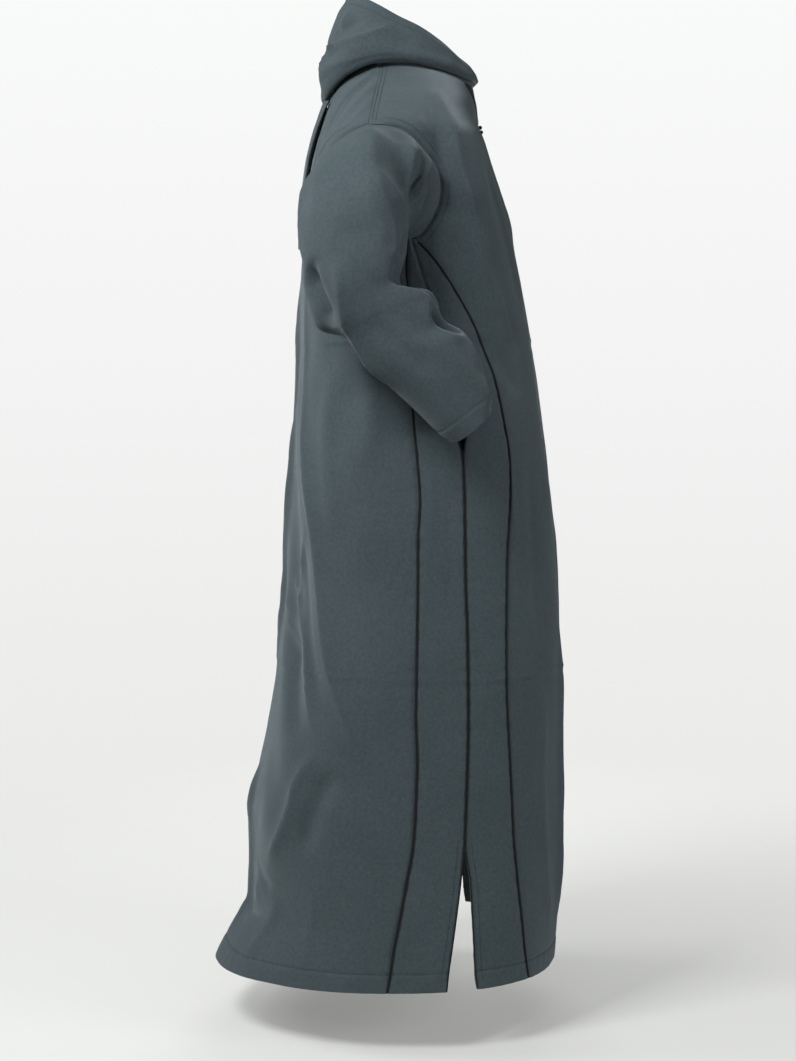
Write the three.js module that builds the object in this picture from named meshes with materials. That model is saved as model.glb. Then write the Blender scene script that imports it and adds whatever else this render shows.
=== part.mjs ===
// A worn djellaba as cloth walls: front and back panels, four side gores, two bent
// sleeves, a hood worn down, and black cord along the seams, slits and vents.
// Millimetres. +Z is up, the front faces -Y and the wearer's right side is -X.
// The origin is the middle of the shoulder line at the base of the neck.
import * as THREE from "three";

// Driving sizes
const CLOTH = 2.0;            // thickness of the wool cloth
const SEAM_GAP = 0.4;         // clearance between two pieces at a seam
const SLEEVE_GAP = 1.0;       // clearance of a sleeve from the armhole edge
const SLIT_TOP_Z = -24;       // height of the neckline at the centre front
const SLIT_BOTTOM_Z = -80;    // lower end of the centre front slit
const SLIT_HALF_ANGLE = 3.2;  // half opening of the slit at its top, degrees
const SHOULDER_SEAM_BACK = 20; // how far the shoulder seam runs back on its way out
const CORD_WIDTH = 4.4;       // flat black cord along the gore seams
const CORD_HEIGHT = 1.9;
const EDGING_WIDTH = 2.6;     // black edging of the hand slits and vents
const EDGING_HEIGHT = 1.4;
const BRAID_HEIGHT = 1.5;
const BRAID_LIFT = 1.0;       // the braid crosses the facets of the panel
const LIFT = 0.35;            // clearance of what lies on a panel
const KNOT_RADIUS = 3.2;      // knot buttons at the foot of the neck slit

const CLOTH_COLOUR = 0x46535a;
const CORD_COLOUR = 0x16181a;

// A short table: the first argument names the columns, each later one is a row.
function table(columns, ...rows) {
  const names = columns.split(" ");
  return rows.map((row) => Object.fromEntries(names.map((name, i) => [name, row[i]])));
}

// Horizontal sections of the body, from the neckline to the hem. front and back are the
// y of the centre line, right and left the half widths, square the roundness exponent.
const BODY = table("z front back right left square",
  [0, -120, 64, 92, 92, 2.0],
  [-14, -136, 70, 112, 112, 2.05],
  [-28, -144, 76, 133, 133, 2.1],
  [-44, -147, 82, 156, 156, 2.2],
  [-60, -150, 88, 180, 180, 2.3],
  [-76, -152, 93, 202, 202, 2.3],
  [-92, -155, 97, 222, 221, 2.35],
  [-104, -158, 100, 237, 235, 2.4],
  [-115, -161, 103, 248, 246, 2.5],
  [-127, -164, 106, 252, 250, 2.6],
  [-153, -171, 112, 251, 249, 2.8],
  [-204, -188, 120, 245, 243, 2.9],
  [-250, -203, 125, 241, 239, 2.8],
  [-287, -211, 127, 241, 239, 2.8],
  [-335, -221, 130, 245, 242, 2.7],
  [-375, -229, 131, 249, 246, 2.6],
  [-450, -242, 133, 258, 255, 2.5],
  [-560, -259, 140, 270, 266, 2.5],
  [-680, -273, 145, 278, 273, 2.5],
  [-810, -282, 151, 286, 280, 2.4],
  [-940, -288, 167, 296, 288, 2.4],
  [-1070, -289, 188, 305, 295, 2.4],
  [-1197, -290, 209, 312, 300, 2.4],
  [-1310, -290, 212, 317, 303, 2.4],
  [-1355, -287, 214, 319, 304, 2.4],
  [-1420, -282, 226, 322, 306, 2.4]);

// Armhole edge on the body, from the shoulder point to the underarm: y of its front and
// back branch at each height.
const ARMHOLE = table("z front back",
  [-115, 19, 21], [-120, -18, 34], [-127, -35, 48], [-137, -48, 67], [-153, -63, 82],
  [-178, -83, 95], [-204, -90, 105], [-230, -88, 104], [-250, -81, 88], [-264, -73, 66],
  [-274, -66, 38], [-282, -58, 4], [-287, -51, -39]);

// Side seams below the underarm: y of the front gore seam, of the two edges of the side
// seam, and of the back gore seam. The edges part at the hand slit and at the vent.
const SEAMS = table("z front side_front side_back back",
  [-287, -51, -45, -45, -39],
  [-305, -70, -51, -51, -40],
  [-335, -93, -60, -60, -40],
  [-375, -118, -73, -73, -41],
  [-420, -142, -86, -86, -42],
  [-450, -154, -94, -94, -43],
  [-500, -172, -116, -98, -45],
  [-560, -185, -130, -107, -48],
  [-620, -194, -124, -124, -54],
  [-680, -196, -126, -126, -58],
  [-745, -194, -127, -127, -55],
  [-810, -192, -128, -128, -55],
  [-875, -191, -130, -130, -54],
  [-940, -190, -131, -131, -53],
  [-1005, -192, -131, -131, -52],
  [-1070, -195, -130, -130, -54],
  [-1135, -199, -128, -128, -52],
  [-1197, -202, -126, -126, -48],
  [-1255, -208, -134, -121, -38],
  [-1310, -214, -137, -114, -28],
  [-1355, -218, -140, -108, -19],
  [-1390, -222, -142, -103, -14],
  [-1420, -226, -146, -100, -9]);

const HAND_SLIT_TOP_Z = -450;
const NECK_ROWS = [0, -14, -28, -44, -60, -76, -92, -104, -115];
const NECK_BAND_Z = -127;     // level from which the rows are no longer drawn to the slit

// Broad folds of the body: angle round the body (0 front, 90 left, -90 right, 180 back)
// at the top of the fold, its drift down to the bottom, heights, depth outward, half width.
const FOLDS = table("angle drift top bottom depth width",
  [-66, 12, -70, -400, 8, 8],        // ridge in front of the right armhole
  [-79, 3, -100, -260, -9, 7],       // hollow behind it
  [66, -12, -75, -380, 7, 8],
  [79, -3, -100, -250, -8, 7],
  [-40, 8, -420, -1100, 6, 10],      // front of the right gore
  [38, -5, -500, -1500, 8, 11],
  [44, -8, -1000, -1700, 24, 20],    // left hem carried forward by the step
  [-150, 40, -500, -1120, 11, 9],    // long diagonal ridge at the right back
  [-163, 44, -520, -1150, -8, 9],
  [-172, 50, -640, -1180, 8, 8],
  [-140, 0, -1120, -1480, 9, 11],
  [152, -22, -460, -1180, 9, 10],
  [170, -8, -900, -1550, 9, 11],
  [-161, 6, -1335, -1560, 52, 34],   // hem kicked back by the trailing heel
  [-178, 0, -1180, -1380, -7, 20]);

const radians = THREE.MathUtils.degToRad;
const lerp = THREE.MathUtils.lerp;

// Linear reading of one column of a table whose rows run down in z.
function read(rows, column, z) {
  if (z >= rows[0].z) return rows[0][column];
  for (let i = 1; i < rows.length; i += 1) {
    if (z >= rows[i].z) {
      const share = (rows[i - 1].z - z) / (rows[i - 1].z - rows[i].z);
      return lerp(rows[i - 1][column], rows[i][column], share);
    }
  }
  return rows[rows.length - 1][column];
}

function foldHeight(angle, z) {
  let sum = 0;
  for (const fold of FOLDS) {
    const share = (fold.top - z) / (fold.top - fold.bottom);
    if (share <= 0 || share >= 1) continue;
    const middle = fold.angle + fold.drift * share;
    const away = (((angle - middle) % 360) + 540) % 360 - 180;
    sum += fold.depth * Math.sin(Math.PI * share) * Math.exp(-((away / fold.width) ** 2));
  }
  return sum;
}

// Point of the body's outer surface, before any thickness.
function bodySurface(angle, z) {
  const front = read(BODY, "front", z);
  const back = read(BODY, "back", z);
  const square = read(BODY, "square", z);
  const s = Math.sin(radians(angle));
  const c = Math.cos(radians(angle));
  const half = read(BODY, s < 0 ? "right" : "left", z);
  const across = (Math.abs(s) / half) ** square;
  const along = (Math.abs(c) / ((back - front) / 2)) ** square;
  const radius = (across + along) ** (-1 / square) + foldHeight(angle, z);
  return new THREE.Vector3(radius * s, (front + back) / 2 - radius * c, z);
}

// The same point moved along the surface's outward normal.
function bodyPoint(angle, z, out) {
  const point = bodySurface(angle, z);
  if (out === 0) return point;
  const round = bodySurface(angle + 1, z).sub(bodySurface(angle - 1, z));
  const down = bodySurface(angle, z - 5).sub(bodySurface(angle, z + 5));
  const normal = round.cross(down).normalize().negate();
  const outward = new THREE.Vector3(Math.sin(radians(angle)), -Math.cos(radians(angle)), 0.4);
  if (normal.dot(outward) < 0) normal.negate();
  return point.addScaledVector(normal, out);
}

// Angle at which the body's section at height z passes the depth y, on side 1 or -1.
function angleAt(z, y, side) {
  let near = 0;
  let far = 180;
  for (let step = 0; step < 30; step += 1) {
    const middle = (near + far) / 2;
    if (bodySurface(side * middle, z).y < y) near = middle;
    else far = middle;
  }
  return side * (near + far) / 2;
}

// Degrees that a small distance takes on the section at height z.
function degreesFor(distance, z) {
  return THREE.MathUtils.radToDeg(distance / read(BODY, "right", z));
}

// Closed wall between two grids of points with the same rows and columns. Where wraps is
// true the last column joins the first and the wall is a tube.
function wall(outer, inner, wraps) {
  const rows = outer.length;
  const columns = outer[0].length;
  const count = rows * columns;
  const positions = [...outer.flat(), ...inner.flat()].flatMap((p) => [p.x, p.y, p.z]);
  const index = [];
  const quad = (a, b, c, d) => index.push(a, b, c, a, c, d);
  const last = wraps ? columns : columns - 1;
  for (let r = 0; r < rows - 1; r += 1) {
    for (let c = 0; c < last; c += 1) {
      const right = (c + 1) % columns;
      const [a, b] = [r * columns + c, r * columns + right];
      const [d, e] = [a + columns, b + columns];
      quad(a, d, e, b);
      quad(count + a, count + b, count + e, count + d);
    }
  }
  for (let c = 0; c < last; c += 1) {
    const right = (c + 1) % columns;
    quad(c, right, count + right, count + c);
    const foot = (rows - 1) * columns;
    quad(foot + right, foot + c, count + foot + c, count + foot + right);
  }
  for (let r = 0; !wraps && r < rows - 1; r += 1) {
    const [a, d] = [r * columns, (r + 1) * columns];
    quad(a, count + a, count + d, d);
    const [b, e] = [a + columns - 1, d + columns - 1];
    quad(b, e, count + e, count + b);
  }
  const geometry = new THREE.BufferGeometry();
  geometry.setAttribute("position", new THREE.Float32BufferAttribute(positions, 3));
  geometry.setIndex(signedVolume(positions, index) < 0 ? index.reverse() : index);
  geometry.computeVertexNormals();
  return geometry;
}

function signedVolume(positions, index) {
  const corner = (i) => new THREE.Vector3().fromArray(positions, index[i] * 3);
  let sum = 0;
  for (let i = 0; i < index.length; i += 3) {
    sum += corner(i).dot(corner(i + 1).cross(corner(i + 2)));
  }
  return sum;
}

// Body panel between two edges. lines(z) gives the angles of its columns, top(angle) the
// height at which each column starts, low and high how far its faces stand off.
function panel({ rows, lines, top, low, high }) {
  const grid = (out) => rows.map((z) => {
    return lines(z).map((angle) => {
      const start = top ? top(angle) : rows[0];
      const drawn = z > NECK_BAND_Z && top;
      const height = drawn ? start + (z / NECK_BAND_Z) * (NECK_BAND_Z - start) : z;
      return bodyPoint(angle, height, out);
    });
  });
  return wall(grid(high), grid(low), false);
}

// Count + 1 even steps from one value to another.
function steps(from, to, count) {
  return Array.from({ length: count + 1 }, (_, i) => lerp(from, to, i / count));
}

const garment = new THREE.Group();
const cloth = new THREE.MeshStandardMaterial({
  color: CLOTH_COLOUR, roughness: 0.9, metalness: 0, side: THREE.DoubleSide });
const blackCord = new THREE.MeshStandardMaterial({
  color: CORD_COLOUR, roughness: 0.7, metalness: 0 });

function add(name, geometry, material) {
  const mesh = new THREE.Mesh(geometry, material.clone());
  mesh.name = name;
  garment.add(mesh);
}

// ---- Front and back panels: neckline, shoulder seams, armholes, gore seams, hem
function shoulderSeamY(z) {
  return SHOULDER_SEAM_BACK * z / ARMHOLE[0].z;
}

function panelEdge(z, branch, side) {
  if (z > ARMHOLE[0].z) return angleAt(z, shoulderSeamY(z), side);
  if (z >= SEAMS[0].z) return angleAt(z, read(ARMHOLE, branch, z), side);
  return angleAt(z, read(SEAMS, branch, z), side);
}

const bodyRows = [
  ...NECK_ROWS,
  ...ARMHOLE.slice(1).map((row) => row.z),
  ...SEAMS.slice(1).map((row) => row.z)];

function frontTop(angle) {
  const away = Math.abs(angle);
  if (away < SLIT_HALF_ANGLE) {
    return lerp(SLIT_BOTTOM_Z, SLIT_TOP_Z, away / SLIT_HALF_ANGLE);
  }
  return SLIT_TOP_Z * Math.cos(radians(Math.min(away, 90))) ** 2;
}

// Only the outer columns of a panel follow its wandering edge: the inner ones start at
// a steady angle, which gives way where the edge itself comes nearer the middle.
const FRONT_INNER_ANGLE = 60;
const BACK_INNER_ANGLE = 138;
const EDGE_MARGIN = 5;

function frontLines(z) {
  const gap = degreesFor(SEAM_GAP / 2, z);
  const half = (side) => {
    const edge = Math.abs(panelEdge(z, "front", side)) - gap;
    const inner = Math.min(FRONT_INNER_ANGLE, edge - EDGE_MARGIN);
    return [...steps(edge, inner, 2), ...steps(inner, 0, 5).slice(1, -1), SLIT_HALF_ANGLE];
  };
  return [...half(-1).map((angle) => -angle), 0, ...half(1).reverse()];
}

function backLines(z) {
  const gap = degreesFor(SEAM_GAP / 2, z);
  const half = (side) => {
    const edge = Math.abs(panelEdge(z, "back", side)) + gap;
    return [...steps(edge, BACK_INNER_ANGLE, 3), ...steps(BACK_INNER_ANGLE, 180, 4).slice(1)];
  };
  return [...half(1), ...half(-1).map((angle) => 360 - angle).reverse().slice(1)];
}

const panelWall = { rows: bodyRows, low: -CLOTH, high: 0 };
add("front_panel", panel({ ...panelWall, lines: frontLines, top: frontTop }), cloth);
add("back_panel", panel({ ...panelWall, lines: backLines }), cloth);

// ---- Side gores, their seam cords, and the edging of the hand slit and the vent
const skirtRows = SEAMS.map((row) => row.z);
const GORE_COLUMNS = 2;

function strip(rows, middle, width, height) {
  return panel({
    rows,
    lines: (z) => {
      const half = degreesFor(width / 2, z);
      return [middle(z) - half, middle(z) + half];
    },
    low: LIFT,
    high: LIFT + height });
}

for (const [name, side] of [["right", -1], ["left", 1]]) {
  const seam = (column, z) => angleAt(z, read(SEAMS, column, z), side);
  const gore = (from, to) => panel({
    rows: skirtRows,
    lines: (z) => {
      const gap = side * degreesFor(SEAM_GAP / 2, z);
      return steps(seam(from, z) + gap, seam(to, z) - gap, GORE_COLUMNS);
    },
    low: -CLOTH,
    high: 0 });
  add(`side_front_gore_${name}`, gore("front", "side_front"), cloth);
  add(`side_back_gore_${name}`, gore("side_back", "back"), cloth);

  for (const branch of ["front", "back"]) {
    const cordRows = skirtRows.slice(2);
    const line = (z) => seam(branch, z);
    add(`${branch}_cord_${name}`, strip(cordRows, line, CORD_WIDTH, CORD_HEIGHT), blackCord);
    const edgeRows = skirtRows.filter((z) => z <= HAND_SLIT_TOP_Z);
    const inward = branch === "front" ? -side : side;
    const edge = (z) => {
      const set = inward * degreesFor((EDGING_WIDTH + SEAM_GAP) / 2, z);
      return seam(`side_${branch}`, z) + set;
    };
    const edging = strip(edgeRows, edge, EDGING_WIDTH, EDGING_HEIGHT);
    add(`${branch}_slit_edging_${name}`, edging, blackCord);
  }
}

// ---- Sleeves: rings from the armhole past the bent elbow to the cuff at the hand slit.
// x, y, z is a ring's middle, across and out its half widths, tilt turns it forward and
// up, and lean raises its outer side.
const SLEEVE = table("x y z across out tilt lean",
  [-278, 17, -221, 101, 77, 8, 67],
  [-297, 31, -253, 90, 65, 10, 45],
  [-311, 38, -287, 81, 58, 6, 23],
  [-319, 38, -324, 76, 58, 6, 6],
  [-322, 38, -356, 72, 58, 14, 0],
  [-322, 27, -386, 70, 57, 27, 0],
  [-324, -10, -412, 72, 56, 29, 0],
  [-328, -37, -450, 68, 55, 33, 0],
  [-331, -70, -477, 70, 54, 41, 0],
  [-334, -98, -509, 65, 52, 45, 0],
  [-335, -119, -547, 51, 50, 42, -5],
  [-335, -132, -567, 40, 48, 42, -10]);

// Folds of the sleeve: ring number and angle round it (0 outer side, 90 front, 180 inner,
// 270 rear) of the fold's middle, half lengths both ways, slant and depth outward.
const SLEEVE_FOLDS = table("ring angle rings degrees slant depth",
  [1.2, 62, 0.9, 22, 10, -14],       // hollow behind the armhole's front edge
  [2.4, 20, 2.2, 13, 16, 7],         // ridge from the shoulder point to the crook
  [4.9, 78, 0.5, 40, 0, -10],        // crease in the crook of the elbow
  [6.0, 70, 0.5, 36, 0, 7],
  [6.2, 250, 0.7, 30, -20, -8],      // tuck under the elbow
  [5.3, 262, 0.5, 34, 0, 6],
  [8.6, 50, 2.4, 16, 0, 6],          // crease along the forearm
  [9.0, 15, 2.0, 15, 0, -5]);

const RINGS_BETWEEN = 2;

function ringPoint(ring, degrees, side) {
  const [tilt, lean, turn] = [ring.tilt, ring.lean, degrees].map(radians);
  const front = new THREE.Vector3(0, -Math.cos(tilt), Math.sin(tilt));
  const up = new THREE.Vector3(0, Math.sin(tilt), Math.cos(tilt));
  const outer = new THREE.Vector3(-Math.cos(lean), 0, 0).addScaledVector(up, Math.sin(lean));
  const point = new THREE.Vector3(ring.x, ring.y, ring.z);
  point.addScaledVector(front, ring.across * Math.sin(turn));
  point.addScaledVector(outer, ring.out * Math.cos(turn));
  point.x *= -side;
  return point;
}

// Armhole loop, from the shoulder point down its front, and up its back.
function armholeLoop(side) {
  const at = (row, branch) => bodySurface(angleAt(row.z, row[branch], side), row.z);
  const down = ARMHOLE.map((row) => at(row, "front"));
  const up = ARMHOLE.map((row) => at(row, "back")).reverse();
  up.pop();
  return [...down, ...up];
}

// Angle round the sleeve of each point of the loop, by its share of the loop's length.
function loopAngles(loop, half) {
  const lengths = [0];
  for (let i = 1; i <= loop.length; i += 1) {
    lengths.push(lengths[i - 1] + loop[i % loop.length].distanceTo(loop[i - 1]));
  }
  const middle = (lengths[half] + lengths[half + 1]) / 2;
  const total = lengths[loop.length];
  return loop.map((_, i) => (i <= half
    ? 180 * lengths[i] / middle
    : 360 - 180 * (total - lengths[i]) / (total - middle)));
}

function sleeveFold(along, degrees) {
  let sum = 0;
  for (const fold of SLEEVE_FOLDS) {
    const past = (along - fold.ring) / fold.rings;
    const middle = fold.angle + fold.slant * past;
    const away = ((((degrees - middle) % 360) + 540) % 360 - 180) / fold.degrees;
    sum += fold.depth * Math.exp(-(past ** 2) - away ** 2);
  }
  return sum;
}

function sleeve(side) {
  const loop = armholeLoop(side);
  const angles = loopAngles(loop, ARMHOLE.length - 1);
  const columns = loop.map((start, i) => {
    const keys = SLEEVE.map((ring) => ringPoint(ring, angles[i], side));
    const leave = keys[0].clone().sub(start).normalize();
    keys.unshift(start.clone().addScaledVector(leave, SLEEVE_GAP));
    const curve = new THREE.CatmullRomCurve3(keys, false, "centripetal");
    return curve.getPoints((keys.length - 1) * RINGS_BETWEEN);
  });
  const rings = columns[0].map((_, k) => columns.map((column) => column[k]));
  const normals = rings.map((ring, k) => {
    const middle = ring.reduce((sum, p) => sum.add(p), new THREE.Vector3())
      .divideScalar(ring.length);
    return ring.map((point, i) => {
      const round = ring[(i + 1) % ring.length].clone()
        .sub(ring[(i + ring.length - 1) % ring.length]);
      const next = rings[Math.min(k + 1, rings.length - 1)][i];
      const along = next.clone().sub(rings[Math.max(k - 1, 0)][i]);
      const normal = round.cross(along).normalize();
      return normal.dot(point.clone().sub(middle)) < 0 ? normal.negate() : normal;
    });
  });
  const grid = (out) => rings.map((ring, k) => ring.map((point, i) => {
    const fade = Math.min(1, k / RINGS_BETWEEN / 1.2);
    const lift = out + fade * sleeveFold(k / RINGS_BETWEEN - 1, angles[i]);
    return point.clone().addScaledVector(normals[k][i], lift);
  }));
  return wall(grid(0), grid(-CLOTH), true);
}

add("sleeve_right", sleeve(-1), cloth);
add("sleeve_left", sleeve(1), cloth);

// ---- Hood worn down: a standing roll round the neck, in two halves, open upwards
const HOOD_MIDDLE_Y = -40;
const HOOD_SEAM_RISE = 1.7;   // the hood's neck seam above the panels' neckline
const ROLL_TURN = 8;          // radius of the turn at the foot of the roll
const UNDER_SHARE = 0.5;      // where the cloth between seam and foot is lifted
const UNDER_RISE = 2;
// Stations round the neck from the centre front (0) to the centre back (180): radius and
// height of the face edge, of the bulge and of the foot that rests on the shoulder.
const HOOD = table("angle edge_r edge_z bulge_r bulge_z foot_r foot_z",
  [3, 108, -6, 114, -13, 115, -21],
  [22, 109, 2, 116, -9, 117, -21],
  [39, 100, 17, 112, 0, 117, -19],
  [57, 95, 37, 110, 14, 117, -13],
  [77, 91, 57, 109, 27, 117, -5],
  [98, 90, 73, 111, 36, 117, 0],
  [117, 96, 91, 119, 44, 126, -3],
  [136, 100, 107, 129, 46, 138, -19],
  [158, 99, 116, 129, 42, 141, -44],
  [179.87, 98, 117, 126, 39, 138, -55]);
const HOOD_ROWS = 9;

function hoodPoint(angle, radius, z) {
  return new THREE.Vector3(
    radius * Math.sin(radians(angle)), HOOD_MIDDLE_Y - radius * Math.cos(radians(angle)), z);
}

// Body angle of the neckline point that lies in a hood station's direction.
function necklinePoint(angle) {
  const z = (turn) => (Math.abs(turn) < 90 ? frontTop(Math.max(Math.abs(turn), 4)) : 0);
  let body = angle;
  for (let step = 0; step < 12; step += 1) {
    const point = bodySurface(body, z(body));
    const seen = THREE.MathUtils.radToDeg(Math.atan2(point.x, HOOD_MIDDLE_Y - point.y));
    body += angle - seen;
  }
  return bodySurface(body, z(body)).add(new THREE.Vector3(0, 0, HOOD_SEAM_RISE));
}

function hoodHalf(side) {
  const stations = HOOD.map((row) => {
    const angle = side * row.angle;
    const seam = necklinePoint(angle);
    const seamRadius = Math.hypot(seam.x, seam.y - HOOD_MIDDLE_Y);
    const turn = ROLL_TURN * Math.min(1, (row.foot_r - seamRadius) / 20);
    const underRadius = lerp(seamRadius, row.foot_r - turn, UNDER_SHARE);
    const underZ = lerp(seam.z, row.foot_z, UNDER_SHARE ** 2) + UNDER_RISE;
    return new THREE.CatmullRomCurve3([
      seam,
      hoodPoint(angle, underRadius, underZ),
      hoodPoint(angle, row.foot_r - turn, row.foot_z),
      hoodPoint(angle, row.foot_r, row.foot_z + turn),
      hoodPoint(angle, row.bulge_r, row.bulge_z),
      hoodPoint(angle, row.edge_r, row.edge_z)], false, "centripetal");
  });
  const lines = stations.map((curve) => curve.getPoints(HOOD_ROWS - 1));
  const columns = (HOOD.length - 1) * 2;
  const rows = lines[0].map((_, r) => {
    const round = new THREE.CatmullRomCurve3(lines.map((line) => line[r]));
    return Array.from({ length: columns + 1 }, (_u, c) => round.getPoint(c / columns));
  });
  const inner = rows.map((row, r) => row.map((point, c) => {
    const round = row[Math.min(c + 1, columns)].clone().sub(row[Math.max(c - 1, 0)]);
    round.x = c === columns ? -side : round.x;
    if (c === columns) round.set(-side, 0, 0);
    const along = rows[Math.min(r + 1, rows.length - 1)][c].clone()
      .sub(rows[Math.max(r - 1, 0)][c]);
    const normal = along.cross(round).normalize().multiplyScalar(side);
    return point.clone().addScaledVector(normal, CLOTH);
  }));
  return wall(rows, inner, false);
}

add("hood_right", hoodHalf(-1), cloth);
add("hood_left", hoodHalf(1), cloth);

// ---- Hanging point of the hood: a flat open pouch that lies on the back panel
const POINT_LIFT = 0.7;       // how far its inner layer stands off the back
const POINT = table("z width thick",
  [-59, 78, 9], [-80, 74, 10], [-105, 68, 12], [-135, 59, 12], [-170, 48, 11],
  [-205, 36, 10], [-240, 23, 9], [-265, 13, 8], [-285, 7, 7]);
const POINT_COLUMNS = 20;

function backPanelPoint(x, z, out) {
  let near = 90;
  let far = 270;
  for (let step = 0; step < 30; step += 1) {
    const middle = (near + far) / 2;
    if (bodySurface(middle, z).x > x) near = middle;
    else far = middle;
  }
  return bodyPoint((near + far) / 2, z, out);
}

function pouchRing(row, inset) {
  return Array.from({ length: POINT_COLUMNS }, (_, i) => {
    const turn = (2 * Math.PI * i) / POINT_COLUMNS;
    const out = POINT_LIFT + row.thick / 2 + (row.thick / 2 - inset) * Math.sin(turn);
    return backPanelPoint((row.width - inset) * Math.cos(turn), row.z, out);
  });
}

add("hood_point", wall(
  POINT.map((row) => pouchRing(row, 0)),
  POINT.map((row) => pouchRing(row, CLOTH)), true), cloth);

// ---- Black braid on both sides of the neck slit, wide at the hood and tapering down
const BRAID = table("z inner outer",
  [-29, 4.2, 36], [-38, 3.6, 31], [-47, 3.0, 25], [-56, 2.5, 19], [-65, 2.0, 13],
  [-74, 1.4, 8], [-83, 0.6, 4.5]);

for (const [name, side] of [["right", -1], ["left", 1]]) {
  add(`neck_braid_${name}`, panel({
    rows: BRAID.map((row) => row.z),
    lines: (z) => steps(side * read(BRAID, "inner", z), side * read(BRAID, "outer", z), 4),
    low: BRAID_LIFT,
    high: BRAID_LIFT + BRAID_HEIGHT }), blackCord);
}

// ---- Two knot buttons one above the other below the slit
const KNOT_HEIGHTS = [-90, -97.5];
KNOT_HEIGHTS.forEach((z, i) => {
  const knot = new THREE.SphereGeometry(KNOT_RADIUS, 12, 8);
  const middle = bodyPoint(0, z, KNOT_RADIUS + LIFT);
  knot.translate(middle.x, middle.y, middle.z);
  add(`knot_button_${i + 1}`, knot, blackCord);
});

export default garment;
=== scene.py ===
import math

import bpy
import numpy as np
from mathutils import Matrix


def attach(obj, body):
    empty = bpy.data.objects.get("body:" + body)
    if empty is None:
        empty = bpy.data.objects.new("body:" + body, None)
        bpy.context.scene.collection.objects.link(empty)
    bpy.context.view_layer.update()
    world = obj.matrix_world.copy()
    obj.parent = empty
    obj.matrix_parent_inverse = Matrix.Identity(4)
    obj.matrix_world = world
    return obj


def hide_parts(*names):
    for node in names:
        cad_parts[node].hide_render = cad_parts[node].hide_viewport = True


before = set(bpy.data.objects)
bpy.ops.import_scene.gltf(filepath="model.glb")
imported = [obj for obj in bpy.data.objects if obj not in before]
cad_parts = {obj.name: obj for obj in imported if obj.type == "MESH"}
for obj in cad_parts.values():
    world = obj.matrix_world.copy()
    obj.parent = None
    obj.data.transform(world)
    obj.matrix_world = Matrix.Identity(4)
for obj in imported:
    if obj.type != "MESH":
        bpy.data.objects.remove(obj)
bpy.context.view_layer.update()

# ---- Camera
# A long lens on a tripod, square to the wearer's right side at hip height and
# tipped down a little, so that the robe fills the upright frame.
FRAME_HEIGHT_PX = 1061
FOCAL_PX = 2147
CAMERA_PLACE = (-3.502, -0.0254, -0.548)
CAMERA_TIP = 3.16

camera_data = bpy.data.cameras.new("camera")
camera_data.sensor_width = 36
camera_data.lens = camera_data.sensor_width * FOCAL_PX / FRAME_HEIGHT_PX
camera_data.dof.use_dof = False
camera = bpy.data.objects.new("camera", camera_data)
camera.location = CAMERA_PLACE
camera.rotation_euler = (math.radians(90 - CAMERA_TIP), 0, math.radians(-90))
bpy.context.scene.collection.objects.link(camera)
bpy.context.scene.camera = camera

# ---- Studio
# A pale floor that fades out into bright air, lit by four soft boxes: the nearest one
# above and behind the wearer's right shoulder, the others behind, in front and at the left.
FLOOR_Z = -1.5125
FLOOR_RADIUS, FLOOR_SPOKES = 5.0, 96
# Distances from the middle at which the floor starts and ends to fade, and how much it
# covers of the air behind it where it is densest.
FADE_NEAR, FADE_FAR, FLOOR_COVER = 0.2, 2.6, 0.7
FLOOR_PAINT = (0.88, 0.89, 0.87, 1)
AIR_STOPS = [
    (0.0, (0.78, 0.79, 0.76, 1)), (0.5, (0.87, 0.87, 0.865, 1)), (1.0, (0.95, 0.965, 0.955, 1))]
AIR_LIGHT = 0.17
SOFT_BOXES = {
    "box_behind_shoulder": ((-1.5, 1.15, 1.1), (0.9, 0.9), 54),
    "box_behind": ((0.3, 2.6, 0.9), (1.4, 1.6), 34),
    "box_in_front": ((-1.5, -2.5, -0.4), (1.0, 0.8), 25),
    "box_left_side": ((3.2, -0.3, -0.2), (1.6, 1.8), 60)}
AIM = (0, 0, -0.3)


class Finish:
    """A value in a material. Sums on it add Math nodes, and node() adds any other."""

    def __init__(self, tree, socket=None):
        self.tree = tree
        self.socket = socket

    def node(self, kind, settings, sockets, output=0):
        made = self.tree.nodes.new("ShaderNode" + kind)
        for name, value in settings.items():
            if name == "stops":
                ramp = made.color_ramp.elements
                while len(ramp) < len(value):
                    ramp.new(0.5)
                for stop, (place, colour) in zip(ramp, value):
                    stop.position = place
                    stop.color = colour
            else:
                setattr(made, name, value)
        for name, value in sockets.items():
            if isinstance(value, Finish):
                self.tree.links.new(value.socket, made.inputs[name])
            else:
                made.inputs[name].default_value = value
        return Finish(self.tree, made.outputs[output])

    def math(self, operation, first, second=0.0):
        return self.node("Math", {"operation": operation}, {0: first, 1: second})

    def __add__(self, other):
        return self.math("ADD", self, other)

    def __radd__(self, other):
        return self.math("ADD", other, self)

    def __sub__(self, other):
        return self.math("SUBTRACT", self, other)

    def __rsub__(self, other):
        return self.math("SUBTRACT", other, self)

    def __mul__(self, other):
        return self.math("MULTIPLY", self, other)

    def __rmul__(self, other):
        return self.math("MULTIPLY", other, self)


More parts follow.
